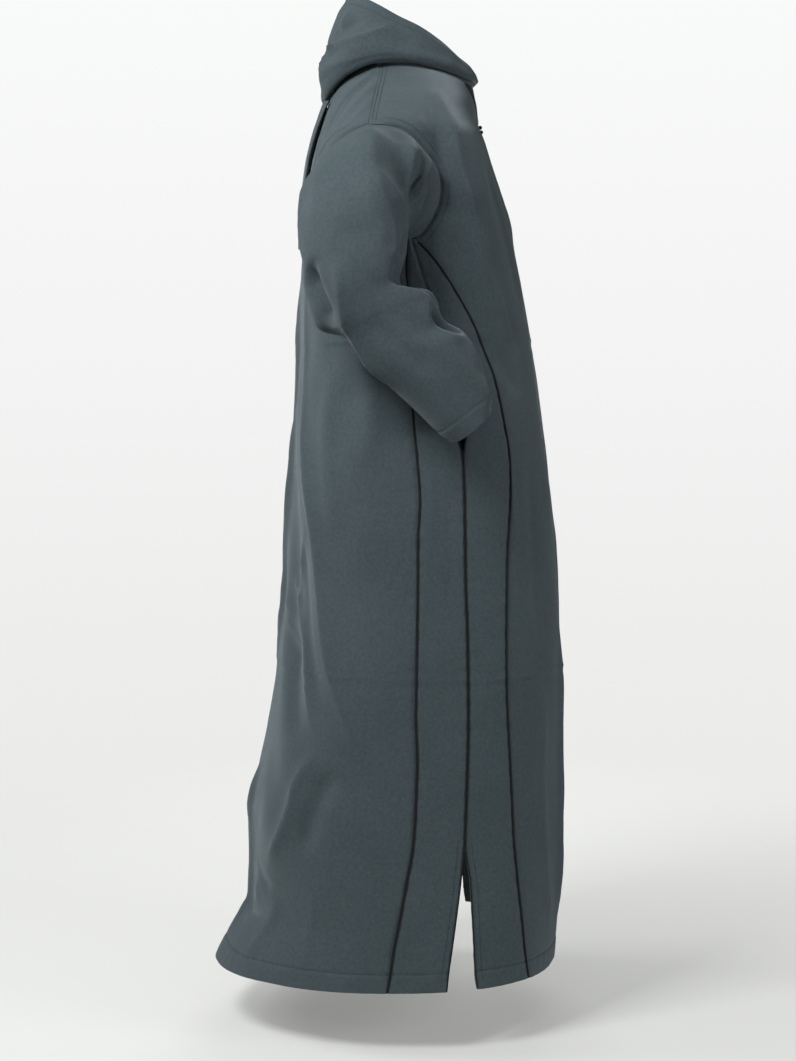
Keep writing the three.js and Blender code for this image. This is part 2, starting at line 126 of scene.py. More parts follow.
spokes = np.linspace(0, 2 * math.pi, FLOOR_SPOKES, endpoint=False)
rim = [(FLOOR_RADIUS * math.cos(a), FLOOR_RADIUS * math.sin(a), 0) for a in spokes]
floor_mesh = bpy.data.meshes.new("studio_floor")
floor_mesh.from_pydata(rim, [], [tuple(range(FLOOR_SPOKES))])
studio_floor = bpy.data.objects.new("studio_floor", floor_mesh)
studio_floor.location = (0, 0, FLOOR_Z)
bpy.context.scene.collection.objects.link(studio_floor)
pale_paint = bpy.data.materials.new("pale_paint")
pale_paint.use_nodes = True
paint = Finish(pale_paint.node_tree)
paint_shader = pale_paint.node_tree.nodes["Principled BSDF"]
paint_shader.inputs["Base Color"].default_value = FLOOR_PAINT
paint_shader.inputs["Roughness"].default_value = 0.9
paint_shader.inputs["Specular IOR Level"].default_value = 0.1
spot = paint.node("TexCoord", {}, {}, "Object")
distance = paint.node("VectorMath", {"operation": "LENGTH"}, {0: spot}, "Value")
fading = paint.node("MapRange", {"interpolation_type": "SMOOTHSTEP"},
                    {0: distance, 1: FADE_NEAR, 2: FADE_FAR, 3: FLOOR_COVER, 4: 0.0})
paint.tree.links.new(fading.socket, paint_shader.inputs["Alpha"])
floor_mesh.materials.append(pale_paint)

for name, (place, size, watts) in SOFT_BOXES.items():
    lamp = bpy.data.lights.new(name, "AREA")
    lamp.shape = "RECTANGLE"
    lamp.size, lamp.size_y = size
    lamp.energy = watts
    box = bpy.data.objects.new(name, lamp)
    box.location = place
    box.visible_camera = False
    toward = np.subtract(AIM, place)
    spin = math.atan2(toward[1], toward[0]) - math.pi / 2
    box.rotation_euler = (math.atan2(math.hypot(toward[0], toward[1]), -toward[2]), 0, spin)
    bpy.context.scene.collection.objects.link(box)

world = bpy.data.worlds.new("studio_air")
world.use_nodes = True
air = Finish(world.node_tree)
course = air.node("TexCoord", {}, {}, "Generated")
rise = air.node("SeparateXYZ", {}, {"Vector": course}, "Z")
glow = air.node("ValToRGB", {"stops": AIR_STOPS}, {"Fac": (rise + 0.3) * 2})
seen = air.node("LightPath", {}, {}, "Is Camera Ray")
strength = AIR_LIGHT + seen * (1 - AIR_LIGHT)
background = world.node_tree.nodes["Background"]
air.tree.links.new(glow.socket, background.inputs["Color"])
air.tree.links.new(strength.socket, background.inputs["Strength"])
bpy.context.scene.world = world
bpy.context.scene.view_settings.view_transform = "Standard"

# ---- Wool cloth
# Heavy fulled wool twill, dyed slate, its fine diagonal almost closed by a short
# nap that catches light at the edges of the folds.
WOOL_DARK = (0.053, 0.073, 0.082, 1)
WOOL_LIGHT = (0.082, 0.109, 0.121, 1)
WOOL_SHEEN, NAP_TINT = 0.34, (0.70, 0.80, 0.84, 1)
TWILL_PITCH = 0.0019
NAP_GRAIN = 1500


def material(name, sheen, tint):
    """A new material, its node tree, and its shader with a uniform sheen."""
    made = bpy.data.materials.new(name)
    made.use_nodes = True
    shader = made.node_tree.nodes["Principled BSDF"]
    shader.inputs["Sheen Weight"].default_value = sheen
    shader.inputs["Sheen Roughness"].default_value = 0.35
    shader.inputs["Sheen Tint"].default_value = tint
    shader.inputs["Specular IOR Level"].default_value = 0.2
    return made, Finish(made.node_tree), shader


def connect(finish, shader, colour, rough, bump):
    """Feeds a material's colour, roughness and relief into its shader."""
    for name, value in (("Base Color", colour), ("Roughness", rough), ("Normal", bump)):
        finish.tree.links.new(value.socket, shader.inputs[name])


wool_cloth, wool, wool_shader = material("wool_cloth", WOOL_SHEEN, NAP_TINT)
place = wool.node("TexCoord", {}, {}, "Object")
weave = wool.node("TexCoord", {}, {}, "UV")
patches = wool.node("TexNoise", {}, {"Vector": place, "Scale": 6.0, "Detail": 5.0, "Roughness": 0.62})
mottle = wool.node("TexNoise", {}, {"Vector": place, "Scale": 190.0, "Detail": 3.0, "Roughness": 0.65})
nap = wool.node("TexNoise", {}, {"Vector": weave, "Scale": NAP_GRAIN, "Detail": 2.0, "Roughness": 0.7})
across = wool.node("SeparateXYZ", {}, {"Vector": weave}, "X")
along = wool.node("SeparateXYZ", {}, {"Vector": weave}, "Y")
twill = wool.math("SINE", (across + along * 1.6 + (nap - 0.5) * (TWILL_PITCH * 0.35))
                  * (2 * math.pi / TWILL_PITCH))
tone = patches * 0.45 + mottle * 0.65 + nap * 0.3 + twill * 0.08 - 0.2
colour = wool.node("ValToRGB", {"stops": [(0.3, WOOL_DARK), (0.72, WOOL_LIGHT)]}, {"Fac": tone})
relief = twill * 0.6 + nap * 0.9 + mottle * 1.2
bump = wool.node("Bump", {}, {"Height": relief, "Strength": 0.45, "Distance": 0.0005})
rough = 0.82 + nap * 0.12
connect(wool, wool_shader, colour, rough, bump)

# ---- Form of the body
# The worn body of the robe is one smooth tube round a general figure. Its sections
# run from the neckline to the hem, in millimetres, and its broad folds lift off it.
MM = 0.001
CLOTH = 2.0
DEGREE_MM = 4.4


def table(columns, *rows):
    """Named columns of a table whose rows run down the garment."""
    return {name: np.array([row[i] for row in rows], float) for i, name in enumerate(columns.split())}


BODY = table(
    "z front back right left square",
    [0, -120, 64, 92, 92, 2.0], [-14, -136, 70, 112, 112, 2.05], [-28, -144, 76, 133, 133, 2.1],
    [-44, -147, 82, 156, 156, 2.2], [-60, -150, 88, 180, 180, 2.3], [-76, -152, 93, 202, 202, 2.3],
    [-92, -155, 97, 222, 221, 2.35], [-104, -158, 100, 237, 235, 2.4], [-115, -161, 103, 248, 246, 2.5],
    [-127, -164, 106, 252, 250, 2.6], [-153, -171, 112, 251, 249, 2.8], [-204, -188, 120, 245, 243, 2.9],
    [-250, -203, 125, 241, 239, 2.8], [-287, -211, 127, 241, 239, 2.8], [-335, -221, 130, 245, 242, 2.7],
    [-375, -229, 131, 249, 246, 2.6], [-450, -242, 133, 258, 255, 2.5], [-560, -259, 140, 270, 266, 2.5],
    [-680, -273, 145, 278, 273, 2.5], [-810, -282, 151, 286, 280, 2.4], [-940, -288, 167, 296, 288, 2.4],
    [-1070, -289, 188, 305, 295, 2.4], [-1197, -290, 209, 312, 300, 2.4], [-1310, -290, 212, 317, 303, 2.4],
    [-1355, -287, 214, 319, 304, 2.4], [-1420, -282, 226, 322, 306, 2.4])
FOLDS = table(
    "angle drift top bottom depth width",
    [-66, 12, -70, -400, 8, 8], [-79, 3, -100, -260, -9, 7], [66, -12, -75, -380, 7, 8],
    [79, -3, -100, -250, -8, 7], [-40, 8, -420, -1100, 6, 10], [38, -5, -500, -1500, 8, 11],
    [44, -8, -1000, -1700, 24, 20], [-150, 40, -500, -1120, 11, 9], [-163, 44, -520, -1150, -8, 9],
    [-172, 50, -640, -1180, 8, 8], [-140, 0, -1120, -1480, 9, 11], [152, -22, -460, -1180, 9, 10],
    [170, -8, -900, -1550, 9, 11], [-161, 6, -1335, -1560, 52, 34], [-178, 0, -1180, -1380, -7, 20])


def read(rows, column, z):
    """Smooth reading of a column, which never swings past its neighbours."""
    x, y = -rows["z"], rows[column]
    step = np.diff(y) / np.diff(x)
    same = step[:-1] * step[1:] > 0
    total = np.where(same, step[:-1] + step[1:], 1)
    slope = np.concatenate([step[:1], np.where(same, 2 * step[:-1] * step[1:] / total, 0), step[-1:]])
    t = np.clip(-np.asarray(z, float), x[0], x[-1])
    i = np.clip(np.searchsorted(x, t, side="right") - 1, 0, len(x) - 2)
    gap = x[i + 1] - x[i]
    s = (t - x[i]) / gap
    rise = y[i] * (1 + 2 * s) * (1 - s) ** 2 + y[i + 1] * s * s * (3 - 2 * s)
    return rise + gap * (slope[i] * s * (1 - s) ** 2 + slope[i + 1] * s * s * (s - 1))


def turn_from(angle, middle):
    """Angle from middle, the short way round."""
    return (angle - middle + 180) % 360 - 180


def fold_height(angle, z):
    """How far the broad folds lift the cloth off the tube."""
    height = np.zeros(np.shape(angle))
    for i, middle in enumerate(FOLDS["angle"]):
        share = (FOLDS["top"][i] - z) / (FOLDS["top"][i] - FOLDS["bottom"][i])
        inside = (share > 0) & (share < 1)
        away = turn_from(angle, middle + FOLDS["drift"][i] * share) / FOLDS["width"][i]
        swell = FOLDS["depth"][i] * np.sin(math.pi * np.clip(share, 0, 1)) * np.exp(-away ** 2)
        height += np.where(inside, swell, 0)
    return height


def body_surface(angle, z, lift=0.0):
    """Points of the cloth's outer face, with lift added away from the body's axis."""
    front, back, square = (read(BODY, name, z) for name in ("front", "back", "square"))
    s, c = np.sin(np.radians(angle)), np.cos(np.radians(angle))
    half = np.where(s < 0, read(BODY, "right", z), read(BODY, "left", z))
    across = (np.abs(s) / half) ** square
    along = (np.abs(c) / ((back - front) / 2)) ** square
    radius = (across + along) ** (-1 / square) + fold_height(angle, z) + lift
    return np.stack([radius * s, (front + back) / 2 - radius * c, z + 0 * radius], -1)


def angle_at(z, y, side):
    """Angle at which the section at height z passes the depth y, on side 1 or -1."""
    near = np.zeros(np.shape(z))
    far = near + 180
    for _ in range(26):
        middle = (near + far) / 2
        before = body_surface(side * middle, z)[..., 1] < y
        near = np.where(before, middle, near)
        far = np.where(before, far, middle)
    return side * (near + far) / 2


def curve_through(points, count):
    """Count points on a centripetal curve through the given ones, ends included."""
    p = np.asarray(points, float)
    p = np.concatenate([2 * p[:1] - p[1:2], p, 2 * p[-1:] - p[-2:-1]])
    knots = np.concatenate([[0], np.cumsum(np.linalg.norm(np.diff(p, axis=0), axis=1) ** 0.5 + 1e-9)])
    t = np.linspace(knots[1], knots[-2], count)
    i = np.clip(np.searchsorted(knots, t, side="right") - 1, 1, len(p) - 3)
    k = [knots[i + j][:, None] for j in (-1, 0, 1, 2)]
    q = [p[i + j] for j in (-1, 0, 1, 2)]
    t = t[:, None]

    def blend(a, b, low, high):
        return a * (high - t) / (high - low) + b * (t - low) / (high - low)

    first, second, third = (blend(q[j], q[j + 1], k[j], k[j + 1]) for j in range(3))
    early, late = blend(first, second, k[0], k[2]), blend(second, third, k[1], k[3])
    return blend(early, late, k[1], k[2])


# Creases of the worn cloth. Each row has the widths of its flanks to the wearer's left
# and right of the crest, a height outward, how soft the crest is, from 1 for a crisp
# one, and the crest's course downward, as angles round the body and heights.
CREASES = [
    (20, 7, 11.0, 1.2, [(-77, -46), (-72, -76), (-70, -110), (-70, -160), (-67, -215), (-62, -268)]),
    (9, 13, 2.0, 1.3, [(-83, -28), (-71, -60), (-63, -95), (-59, -140), (-57, -200), (-53, -268)]),
    (8, 9, -8.0, 2.0, [(-81, -80), (-78, -112), (-76, -150), (-75, -212)]),
    (22, 22, -3.0, 2.0, [(-80, -303), (-74, -306), (-67, -300)]),
    (8, 9, 2.4, 1.4, [(-69, -250), (-63, -323), (-54, -398), (-51, -445)]),
    (12, 14, -3.0, 2.0, [(-60, -290), (-53, -380), (-46, -470)]),
    (14, 14, -3.0, 2.0, [(-69, -432), (-60, -478), (-50, -530)]),
    (6, 10, 7.0, 1.2, [(-107, -4), (-116, -24), (-122, -52), (-125, -88), (-127, -138)]),
    (6, 8, 5.5, 1.2, [(-105, -28), (-109, -58), (-114, -92), (-119, -122)]),
    (5, 7, 4.0, 1.2, [(-103, -62), (-106, -88), (-110, -110)]),
    (6, 6, -4.0, 2.0, [(-111, -24), (-117, -58), (-120, -112)]),
    (8, 12, 3.2, 1.4, [(-128, -24), (-133, -70), (-134, -130), (-131, -200)]),
    (8, 14, 4.0, 1.2, [(-143, -290), (-142, -400), (-140, -514), (-135, -655)]),
    (20, 26, -5.5, 2.0, [(-118, -380), (-115, -460), (-112, -560)]),
    (18, 20, 4.5, 2.0, [(-107, -400), (-106, -520), (-107, -660)]),
    (16, 16, 4.0, 2.0, [(-122, -470), (-124, -600), (-119, -760)]),
    (20, 8, 10.0, 1.1, [(-143, -520), (-136, -640), (-129, -740), (-124, -838), (-118, -936), (-112, -1000),
                       (-106, -1062), (-100, -1130)]),
    (12, 12, -5.0, 2.0, [(-140, -690), (-134, -780), (-129, -880), (-123, -960), (-116, -1040)]),
    (12, 10, 10.0, 1.0, [(-133, -700), (-139, -800), (-140, -850), (-132, -895), (-128, -960),
                         (-121, -1060)]),
    (14, 8, 11.0, 1.0, [(-119, -1050), (-126, -1112), (-128, -1160), (-132, -1205), (-139, -1256)]),
    (16, 14, -7.0, 2.0, [(-113, -1080), (-118, -1150), (-122, -1230)]),
    (12, 12, -4.0, 2.0, [(-136, -900), (-134, -980), (-128, -1060)]),
    (5, 7, 5.0, 1.2, [(-157, -836), (-145, -864), (-131, -902)]),
    (5, 6, 4.0, 1.2, [(-152, -862), (-143, -886), (-133, -916)]),
    (5, 6, 4.0, 1.2, [(-151, -806), (-141, -836), (-134, -858)]),
    (9, 9, -4.0, 2.0, [(-150, -1246), (-142, -1268), (-134, -1290)]),
    (8, 10, 6.0, 1.4, [(-160, -1352), (-148, -1330), (-144, -1304), (-150, -1276)]),
    (9, 9, 3.5, 1.5, [(-140, -1405), (-136, -1350), (-130, -1290)]),
    (10, 10, 2.4, 1.5, [(-117, -1412), (-118, -1349), (-115, -1250)]),
    (7, 9, 2.4, 1.4, [(-88, -620), (-88, -700), (-90, -800), (-90, -900)]),
    (7, 7, -2.0, 2.0, [(-83, -640), (-82, -760), (-83, -860)]),
    (9, 8, 2.6, 1.5, [(-63, -560), (-60, -700), (-58, -880)]),
    (14, 12, -3.0, 2.0, [(-52, -600), (-50, -760), (-48, -930)]),
    (12, 14, 3.4, 1.6, [(-45, -960), (-43, -1180), (-36, -1405)]),
    (22, 26, -9.0, 2.0, [(-50, -150), (-44, -220), (-38, -300), (-33, -400)]),
    (14, 14, 4.0, 1.6, [(-40, -80), (-28, -170), (-20, -300)]),
    (9, 9, -6.2, 2.0, [(-26, -110), (-18, -210), (-15, -340)]),
    (14, 12, 8.3, 1.6, [(40, -72), (30, -160), (23, -290)]),
    (9, 9, 6.2, 1.5, [(12, -126), (14, -240), (20, -410)]),
    (22, 22, -11.7, 2.0, [(-13, -540), (-10, -780), (-15, -1060)]),
    (20, 16, 12.0, 1.7, [(10, -640), (16, -930), (13, -1220)]),
    (16, 18, 9.0, 1.6, [(-28, -860), (-24, -1130), (-29, -1390)]),
    (16, 16, -11.7, 2.0, [(27, -1060), (22, -1270), (24, -1412)]),
    (14, 14, 11.4, 1.5, [(172, -300), (168, -520), (173, -780)]),
    (14, 12, 12.0, 1.5, [(-172, -500), (-169, -740), (-175, -990)]),
    (18, 14, 14.3, 1.4, [(158, -600), (152, -880), (160, -1170)]),
    (16, 16, -13.0, 2.0, [(166, -980), (169, -1190), (163, -1405)]),
    (16, 14, 13.0, 1.6, [(-166, -1090), (-171, -1280), (-166, -1408)])]
# The wearer's left side has creases like those of the right one, a little apart from them.
LEFT_TURN, LEFT_DROP, LEFT_SHARE = 3.0, 11.0, 0.85
RIGHT_SIDE = (-150, -56)
CREASES += [
    (right, left, height * LEFT_SHARE, crisp, [(LEFT_TURN - a, z * 0.985 - LEFT_DROP) for a, z in course])
    for left, right, height, crisp, course in CREASES
    if RIGHT_SIDE[0] < course[0][0] < RIGHT_SIDE[1] and course[-1][1] > -1240]
# Heights, rises and widths of the fold lines left by packing. They wander as they go
# round, come and go in strength, and have a soft groove below them.
PACKING_CREASES = [(-437, 1.2, 3.6), (-948, 1.3, 4.6)]
PACKING_WANDER, WANDER_WAVES = 5, 2.0
PACKING_STRENGTH, STRENGTH_SWING, STRENGTH_WAVES = 0.6, 0.4, 3.0
GROOVE_SHARE, GROOVE_DROP, GROOVE_WIDTH = 0.6, 9, 7


def near_line(a, b, line):
    """Distance of points (a, b) to the left of a course, and the share of it passed."""
    line = np.asarray(line, float)
    lengths = np.linalg.norm(np.diff(line, axis=0), axis=1)
    starts = np.concatenate([[0], np.cumsum(lengths)])
    best, along = np.full(np.shape(a), 1e9), np.zeros(np.shape(a))
    for i, length in enumerate(lengths):
        (x, y), (p, q) = line[i], (line[i + 1] - line[i]) / length
        t = np.clip((a - x) * p + (b - y) * q, 0, length)
        away = np.hypot(a - x - t * p, b - y - t * q)
        nearer = away < np.abs(best)
        left = np.where((b - y) * p - (a - x) * q < 0, -1, 1)
        best = np.where(nearer, away * left, best)
        along = np.where(nearer, (starts[i] + t) / starts[-1], along)
    return best, along


def crease_height(a, b, left, right, height, crisp, line):
    """One crease, which fades in and out towards its ends."""
    reach = 3 * max(left, right)
    low, high = np.min(line, axis=0) - reach, np.max(line, axis=0) + reach
    close = (a > low[0]) & (a < high[0]) & (b > low[1]) & (b < high[1])
    lift = np.zeros(np.shape(a))
    away, along = near_line(a[close], b[close], line)
    fade = np.clip(np.minimum(along, 1 - along) / 0.25, 0, 1)
    flank = np.sqrt(away ** 2 + 0.6) / np.where(away > 0, left, right)
    lift[close] = height * fade * fade * (3 - 2 * fade) * np.exp(-flank ** crisp)
    return lift


def smooth_course(course, turn_mm, drop_mm, middle):
    """A crease's course in millimetres, rounded where it bends."""
    points = [(turn_mm * (a - middle), drop_mm * b) for a, b in course]
    return curve_through(points, 4 * len(points))


CREASE_LINES = [
    (left, right, height, crisp, course[0][0], smooth_course(course, DEGREE_MM, 1, course[0][0]))
    for left, right, height, crisp, course in CREASES]


BROAD_WAVES, FINE_WAVES = 14, 22
SLACK_START, SLACK_REACH, LEAST_SLACK = 100, 200, 0.2
rng = np.random.default_rng(14)


def wave(across, down, rise):
    """A slight wave of the cloth: its rates across and down, its phase and its height."""
    return rng.uniform(-across, across), rng.uniform(-down, down), rng.uniform(0, 6.28), rise


WAVES = [wave(0.03, 0.018, 0.35) for _ in range(BROAD_WAVES)]
WAVES += [wave(0.11, 0.06, 0.1) for _ in range(FINE_WAVES)]


def cloth_height(angle, z):
    """Creases, the two fold lines left by packing, and the slight waves of hung wool."""
    angle, z = np.broadcast_arrays(angle, z)
    height = np.zeros(angle.shape)
    for left, right, rise, crisp, middle, line in CREASE_LINES:
        height += crease_height(DEGREE_MM * turn_from(angle, middle), z, left, right, rise, crisp, line)
    for level, rise, width in PACKING_CREASES:
        wander = PACKING_WANDER * np.sin(np.radians(angle * WANDER_WAVES) + level)
        swing = STRENGTH_SWING * np.sin(np.radians(angle * STRENGTH_WAVES) + 0.01 * level)
        strength = PACKING_STRENGTH + swing
        below = level + wander - z
        groove = GROOVE_SHARE * np.exp(-((below - GROOVE_DROP) / GROOVE_WIDTH) ** 2)
        height += rise * strength * (np.exp(-np.abs(below) / width) - groove)
    slack = np.clip((-z - SLACK_START) / SLACK_REACH, LEAST_SLACK, 1)
    for across, down, phase, rise in WAVES:
        height += rise * slack * np.sin(across * angle * DEGREE_MM + down * z + phase)
    return height


def cloth_face(angle, z):
    """Points of the creased outer face, and its unit normals there."""
    angle, z = (np.asarray(v, float) for v in np.broadcast_arrays(angle, z))
    points, beside, below = (
        body_surface(a, h, cloth_height(a, h)) for a, h in ((angle, z), (angle + 0.5, z), (angle, z - 2)))
    normal = np.cross(below - points, beside - points)
    return points, normal / np.linalg.norm(normal, axis=-1, keepdims=True)


def cloth_surface(angle, z, out):
    """Points at a distance out from the creased outer face, along its normal."""
    points, normal = cloth_face(angle, z)
    return points + normal * np.asarray(out)[..., None]


# ---- Front and back panels
# Two full-length panels of the wool, seamed on the shoulders, cut round the armholes
# and let out by the side gores. Each hem is turned up and stitched once.
SLIT_TOP_Z, SLIT_BOTTOM_Z, SLIT_HALF_ANGLE = -24, -80, 3.2
SHOULDER_SEAM_BACK = 20
SHOULDER_END_Z, NECK_BAND_Z, UNDERARM_Z = -115, -127, -287
HEM_Z = -1420
PANEL_ROW = 6.0
FRONT_INNER, BACK_INNER, EDGE_MARGIN = 60, 138, 5
SLIT_CLEAR, SEAM_GAP = 4.8, 0.05
HEM_TURN, HEM_LAYER = 28, 1.6
SEAM_DIP, SEAM_SOFT = 1.3, 3.0
# The cloth puckers beside the seams, and the hem has a step, a groove under its row of
# stitches, and small ripples that the stitching draws up.
SEAM_PUCKER, PUCKER_REACH, PUCKER_RATE, PUCKER_DRIFT, DRIFT_RATE, PUCKER_LEAN = 0.5, 13, 0.23, 1.4, 0.047, 9
HEM_STEP, HEM_STEP_WIDTH, HEM_GROOVE, HEM_GROOVE_WIDTH = 0.8, 3, 0.6, 1.8
HEM_RIPPLE, RIPPLE_MIDDLE, RIPPLE_WIDTH, RIPPLE_DRIFT_WIDTH = 0.4, 16, 3.4, 37
HEM_ROWS = [HEM_Z + d for d in (34, 31, 29.5, 28, 26.5, 24.5, 20, 15, 10, 5, 0)]
ARMHOLE_FRONT = [
    (SHOULDER_SEAM_BACK, SHOULDER_END_Z), (-18, -120), (-35, -127), (-48, -137), (-63, -153), (-83, -178),
    (-90, -204), (-88, -230), (-81, -250), (-73, -264), (-66, -274), (-58, -282), (-45, UNDERARM_Z)]
ARMHOLE_BACK = [
    (SHOULDER_SEAM_BACK, SHOULDER_END_Z), (34, -120), (48, -127), (67, -137), (82, -153), (95, -178),
    (105, -204), (104, -230), (88, -250), (66, -264), (38, -274), (4, -282), (-45, UNDERARM_Z)]
SEAMS = table(
    "z front side_front side_back back",
    [UNDERARM_Z, -51, -45, -45, -39], [-305, -70, -51, -51, -40], [-335, -93, -60, -60, -40],
    [-375, -118, -73, -73, -41], [-420, -142, -86, -86, -42], [-450, -154, -94, -94, -43],
    [-500, -172, -116, -98, -45], [-560, -185, -130, -107, -48], [-620, -194, -124, -124, -54],
    [-680, -196, -126, -126, -58], [-745, -194, -127, -127, -55], [-810, -192, -128, -128, -55],
    [-875, -191, -130, -130, -54], [-940, -190, -131, -131, -53], [-1005, -192, -131, -131, -52],
    [-1070, -195, -130, -130, -54], [-1135, -199, -128, -128, -52], [-1197, -202, -126, -126, -48],
    [-1255, -208, -134, -121, -38], [-1310, -214, -137, -114, -28], [-1355, -218, -140, -108, -19],
    [-1390, -222, -142, -103, -14], [-1420, -226, -146, -100, -9])


ARMHOLE_POINTS = 200
armhole_front = curve_through(ARMHOLE_FRONT, ARMHOLE_POINTS)
armhole_back = curve_through(ARMHOLE_BACK, ARMHOLE_POINTS)
ARMHOLE_EDGES = {"front": armhole_front, "back": armhole_back}


def edge_depth(z, branch):
    """Depth y of the shoulder seam, armhole or gore seam that ends a panel at height z."""
    hole = ARMHOLE_EDGES[branch]
    in_hole = np.interp(-z, -hole[:, 1], hole[:, 0])
    above = z > SHOULDER_END_Z
    low = read(SEAMS, branch, z)
    shoulder = SHOULDER_SEAM_BACK * z / SHOULDER_END_Z
    return np.where(above, shoulder, np.where(z > UNDERARM_Z, in_hole, low))


def front_top(angle):
    """Height of the neckline at an angle, with the slit at the centre front."""
    away = np.abs(angle)
    slit = SLIT_BOTTOM_Z + (SLIT_TOP_Z - SLIT_BOTTOM_Z) * away / SLIT_HALF_ANGLE
    scoop = SLIT_TOP_Z * np.cos(np.radians(np.minimum(away, 90))) ** 2
    return np.where(away < SLIT_HALF_ANGLE, slit, scoop)


def grid_normals(grid, closed=False):
    """Unit normals of a grid of points, pointing to the right of down and across."""
    down = np.gradient(grid, axis=0)
    if closed:
        round_ = np.roll(grid, -1, axis=1) - np.roll(grid, 1, axis=1)
    else:
        round_ = np.gradient(grid, axis=1)
    normal = np.cross(down, round_)
    return normal / np.maximum(np.linalg.norm(normal, axis=-1, keepdims=True), 1e-9)


def wall(name, outer, inner, uv, finish, closed=False):
    """Closed cloth wall between two grids of points in millimetres, shaded smooth."""
    rows, columns = outer.shape[:2]
    count = rows * columns
    points = np.concatenate([outer.reshape(-1, 3), inner.reshape(-1, 3)]) * MM
    last = columns if closed else columns - 1
    r, c = np.meshgrid(np.arange(rows - 1), np.arange(last), indexing="ij")
    here, beside = r * columns + c, r * columns + (c + 1) % columns
    skin = np.stack([here, here + columns, beside + columns, beside], -1).reshape(-1, 4)
    flat = np.stack([r * (last + 1) + c, (r + 1) * (last + 1) + c,
                     (r + 1) * (last + 1) + c + 1, r * (last + 1) + c + 1], -1).reshape(-1, 4)
    faces, places = [skin, skin[:, ::-1] + count], [flat, flat[:, ::-1]]
    c = np.arange(last)
    for row, order in ((0, 1), (rows - 1, -1)):
        a, b = row * columns + c, row * columns + (c + 1) % columns
        faces.append(np.stack([a, b, b + count, a + count], -1)[:, ::order])
        places.append(np.stack([row * (last + 1) + c] * 4, -1))
    if not closed:
        r = np.arange(rows - 1)
        for column, order in ((0, -1), (columns - 1, 1)):
            a = r * columns + column
            faces.append(np.stack([a, a + columns, a + columns + count, a + count], -1)[:, ::order])
            places.append(np.stack([r * columns + column] * 4, -1))
    faces, places = np.concatenate(faces), np.concatenate(places)
    mesh = bpy.data.meshes.new(name)
    mesh.from_pydata(points.tolist(), [], faces.tolist())
    layer = mesh.uv_layers.new(name="weave")
    layer.data.foreach_set("uv", (uv.reshape(-1, 2)[places.reshape(-1)] * MM).ravel())
    return finished(name, mesh, finish)


def finished(name, mesh, finish):
    """A new object of the robe with one finish, riding on its only body."""
    mesh.materials.append(finish)
    mesh.shade_smooth()
    mesh.set_sharp_from_angle(angle=math.radians(55))
    mesh.update()
    made = bpy.data.objects.new(name, mesh)
    bpy.context.scene.collection.objects.link(made)
    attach(made, "root")
    return made


def panel(name, rows, lines, top=None):
    """Body cloth between two edges. lines(z) gives the angles across one row."""
    nominal = np.array(rows)[:, None]
    angle = lines(np.array(rows))
    z = nominal + 0 * angle
    if top:
        start = top(angle)
        z = np.where(nominal > NECK_BAND_Z, start + nominal / NECK_BAND_Z * (NECK_BAND_Z - start), z)
    ends = np.minimum(angle - angle[:, :1], angle[:, -1:] - angle) * DEGREE_MM
    seam_dip = SEAM_DIP * np.exp(-(ends / SEAM_SOFT) ** 2)
    pucker = SEAM_PUCKER * np.exp(-(ends / PUCKER_REACH) ** 2) * np.sin(
        PUCKER_RATE * z + PUCKER_DRIFT * np.sin(DRIFT_RATE * z) + ends / PUCKER_LEAN)
    to_hem = z - HEM_Z
    step = HEM_STEP * np.clip((HEM_TURN - to_hem) / HEM_STEP_WIDTH, 0, 1)
    groove = HEM_GROOVE * np.exp(-((to_hem - HEM_TURN) / HEM_GROOVE_WIDTH) ** 2)
    walk = angle * DEGREE_MM
    ripple = HEM_RIPPLE * np.exp(-((to_hem - RIPPLE_MIDDLE) / RIPPLE_MIDDLE) ** 2) * np.sin(
        walk / RIPPLE_WIDTH + 2 * np.sin(walk / RIPPLE_DRIFT_WIDTH))
    hem = step - groove + ripple
    outer = body_surface(angle, z, cloth_height(angle, z) - seam_dip + pucker + hem)
    hem_turn = np.clip((HEM_Z + HEM_TURN - z) / 2, 0, 1)
    inner = outer - grid_normals(outer) * (CLOTH + HEM_LAYER * hem_turn)[..., None]
    uv = np.stack([angle * DEGREE_MM, z], -1)
    made = wall(name, outer, inner, uv, wool_cloth)
    return made


def front_lines(z):
    """Angles across the front panel, with columns along both edges of the neck slit."""
    halves = []
    for side in (-1, 1):
        reach = np.abs(angle_at(z, edge_depth(z, "front"), side)) - SEAM_GAP
        inner = np.minimum(FRONT_INNER, reach - EDGE_MARGIN)
        slit = SLIT_CLEAR + 0 * reach
        halves.append(np.concatenate([
            np.linspace(0 * slit, slit, 7)[:-1], np.linspace(slit, inner, 42),
            np.linspace(inner, reach, 19)[1:]]))
    return np.concatenate([-halves[0][::-1], halves[1][1:]]).T


def back_lines(z):
    """Angles across the back panel, closer together at its sides."""
    halves = []
    for side in (-1, 1):
        reach = np.abs(angle_at(z, edge_depth(z, "back"), side)) + SEAM_GAP
        inner = BACK_INNER + 0 * reach
        halves.append(np.concatenate([
            np.linspace(reach, inner, 36), np.linspace(inner, 180 + 0 * reach, 32)[1:]]))
    return np.concatenate([halves[1], 360 - halves[0][::-1][1:]]).T


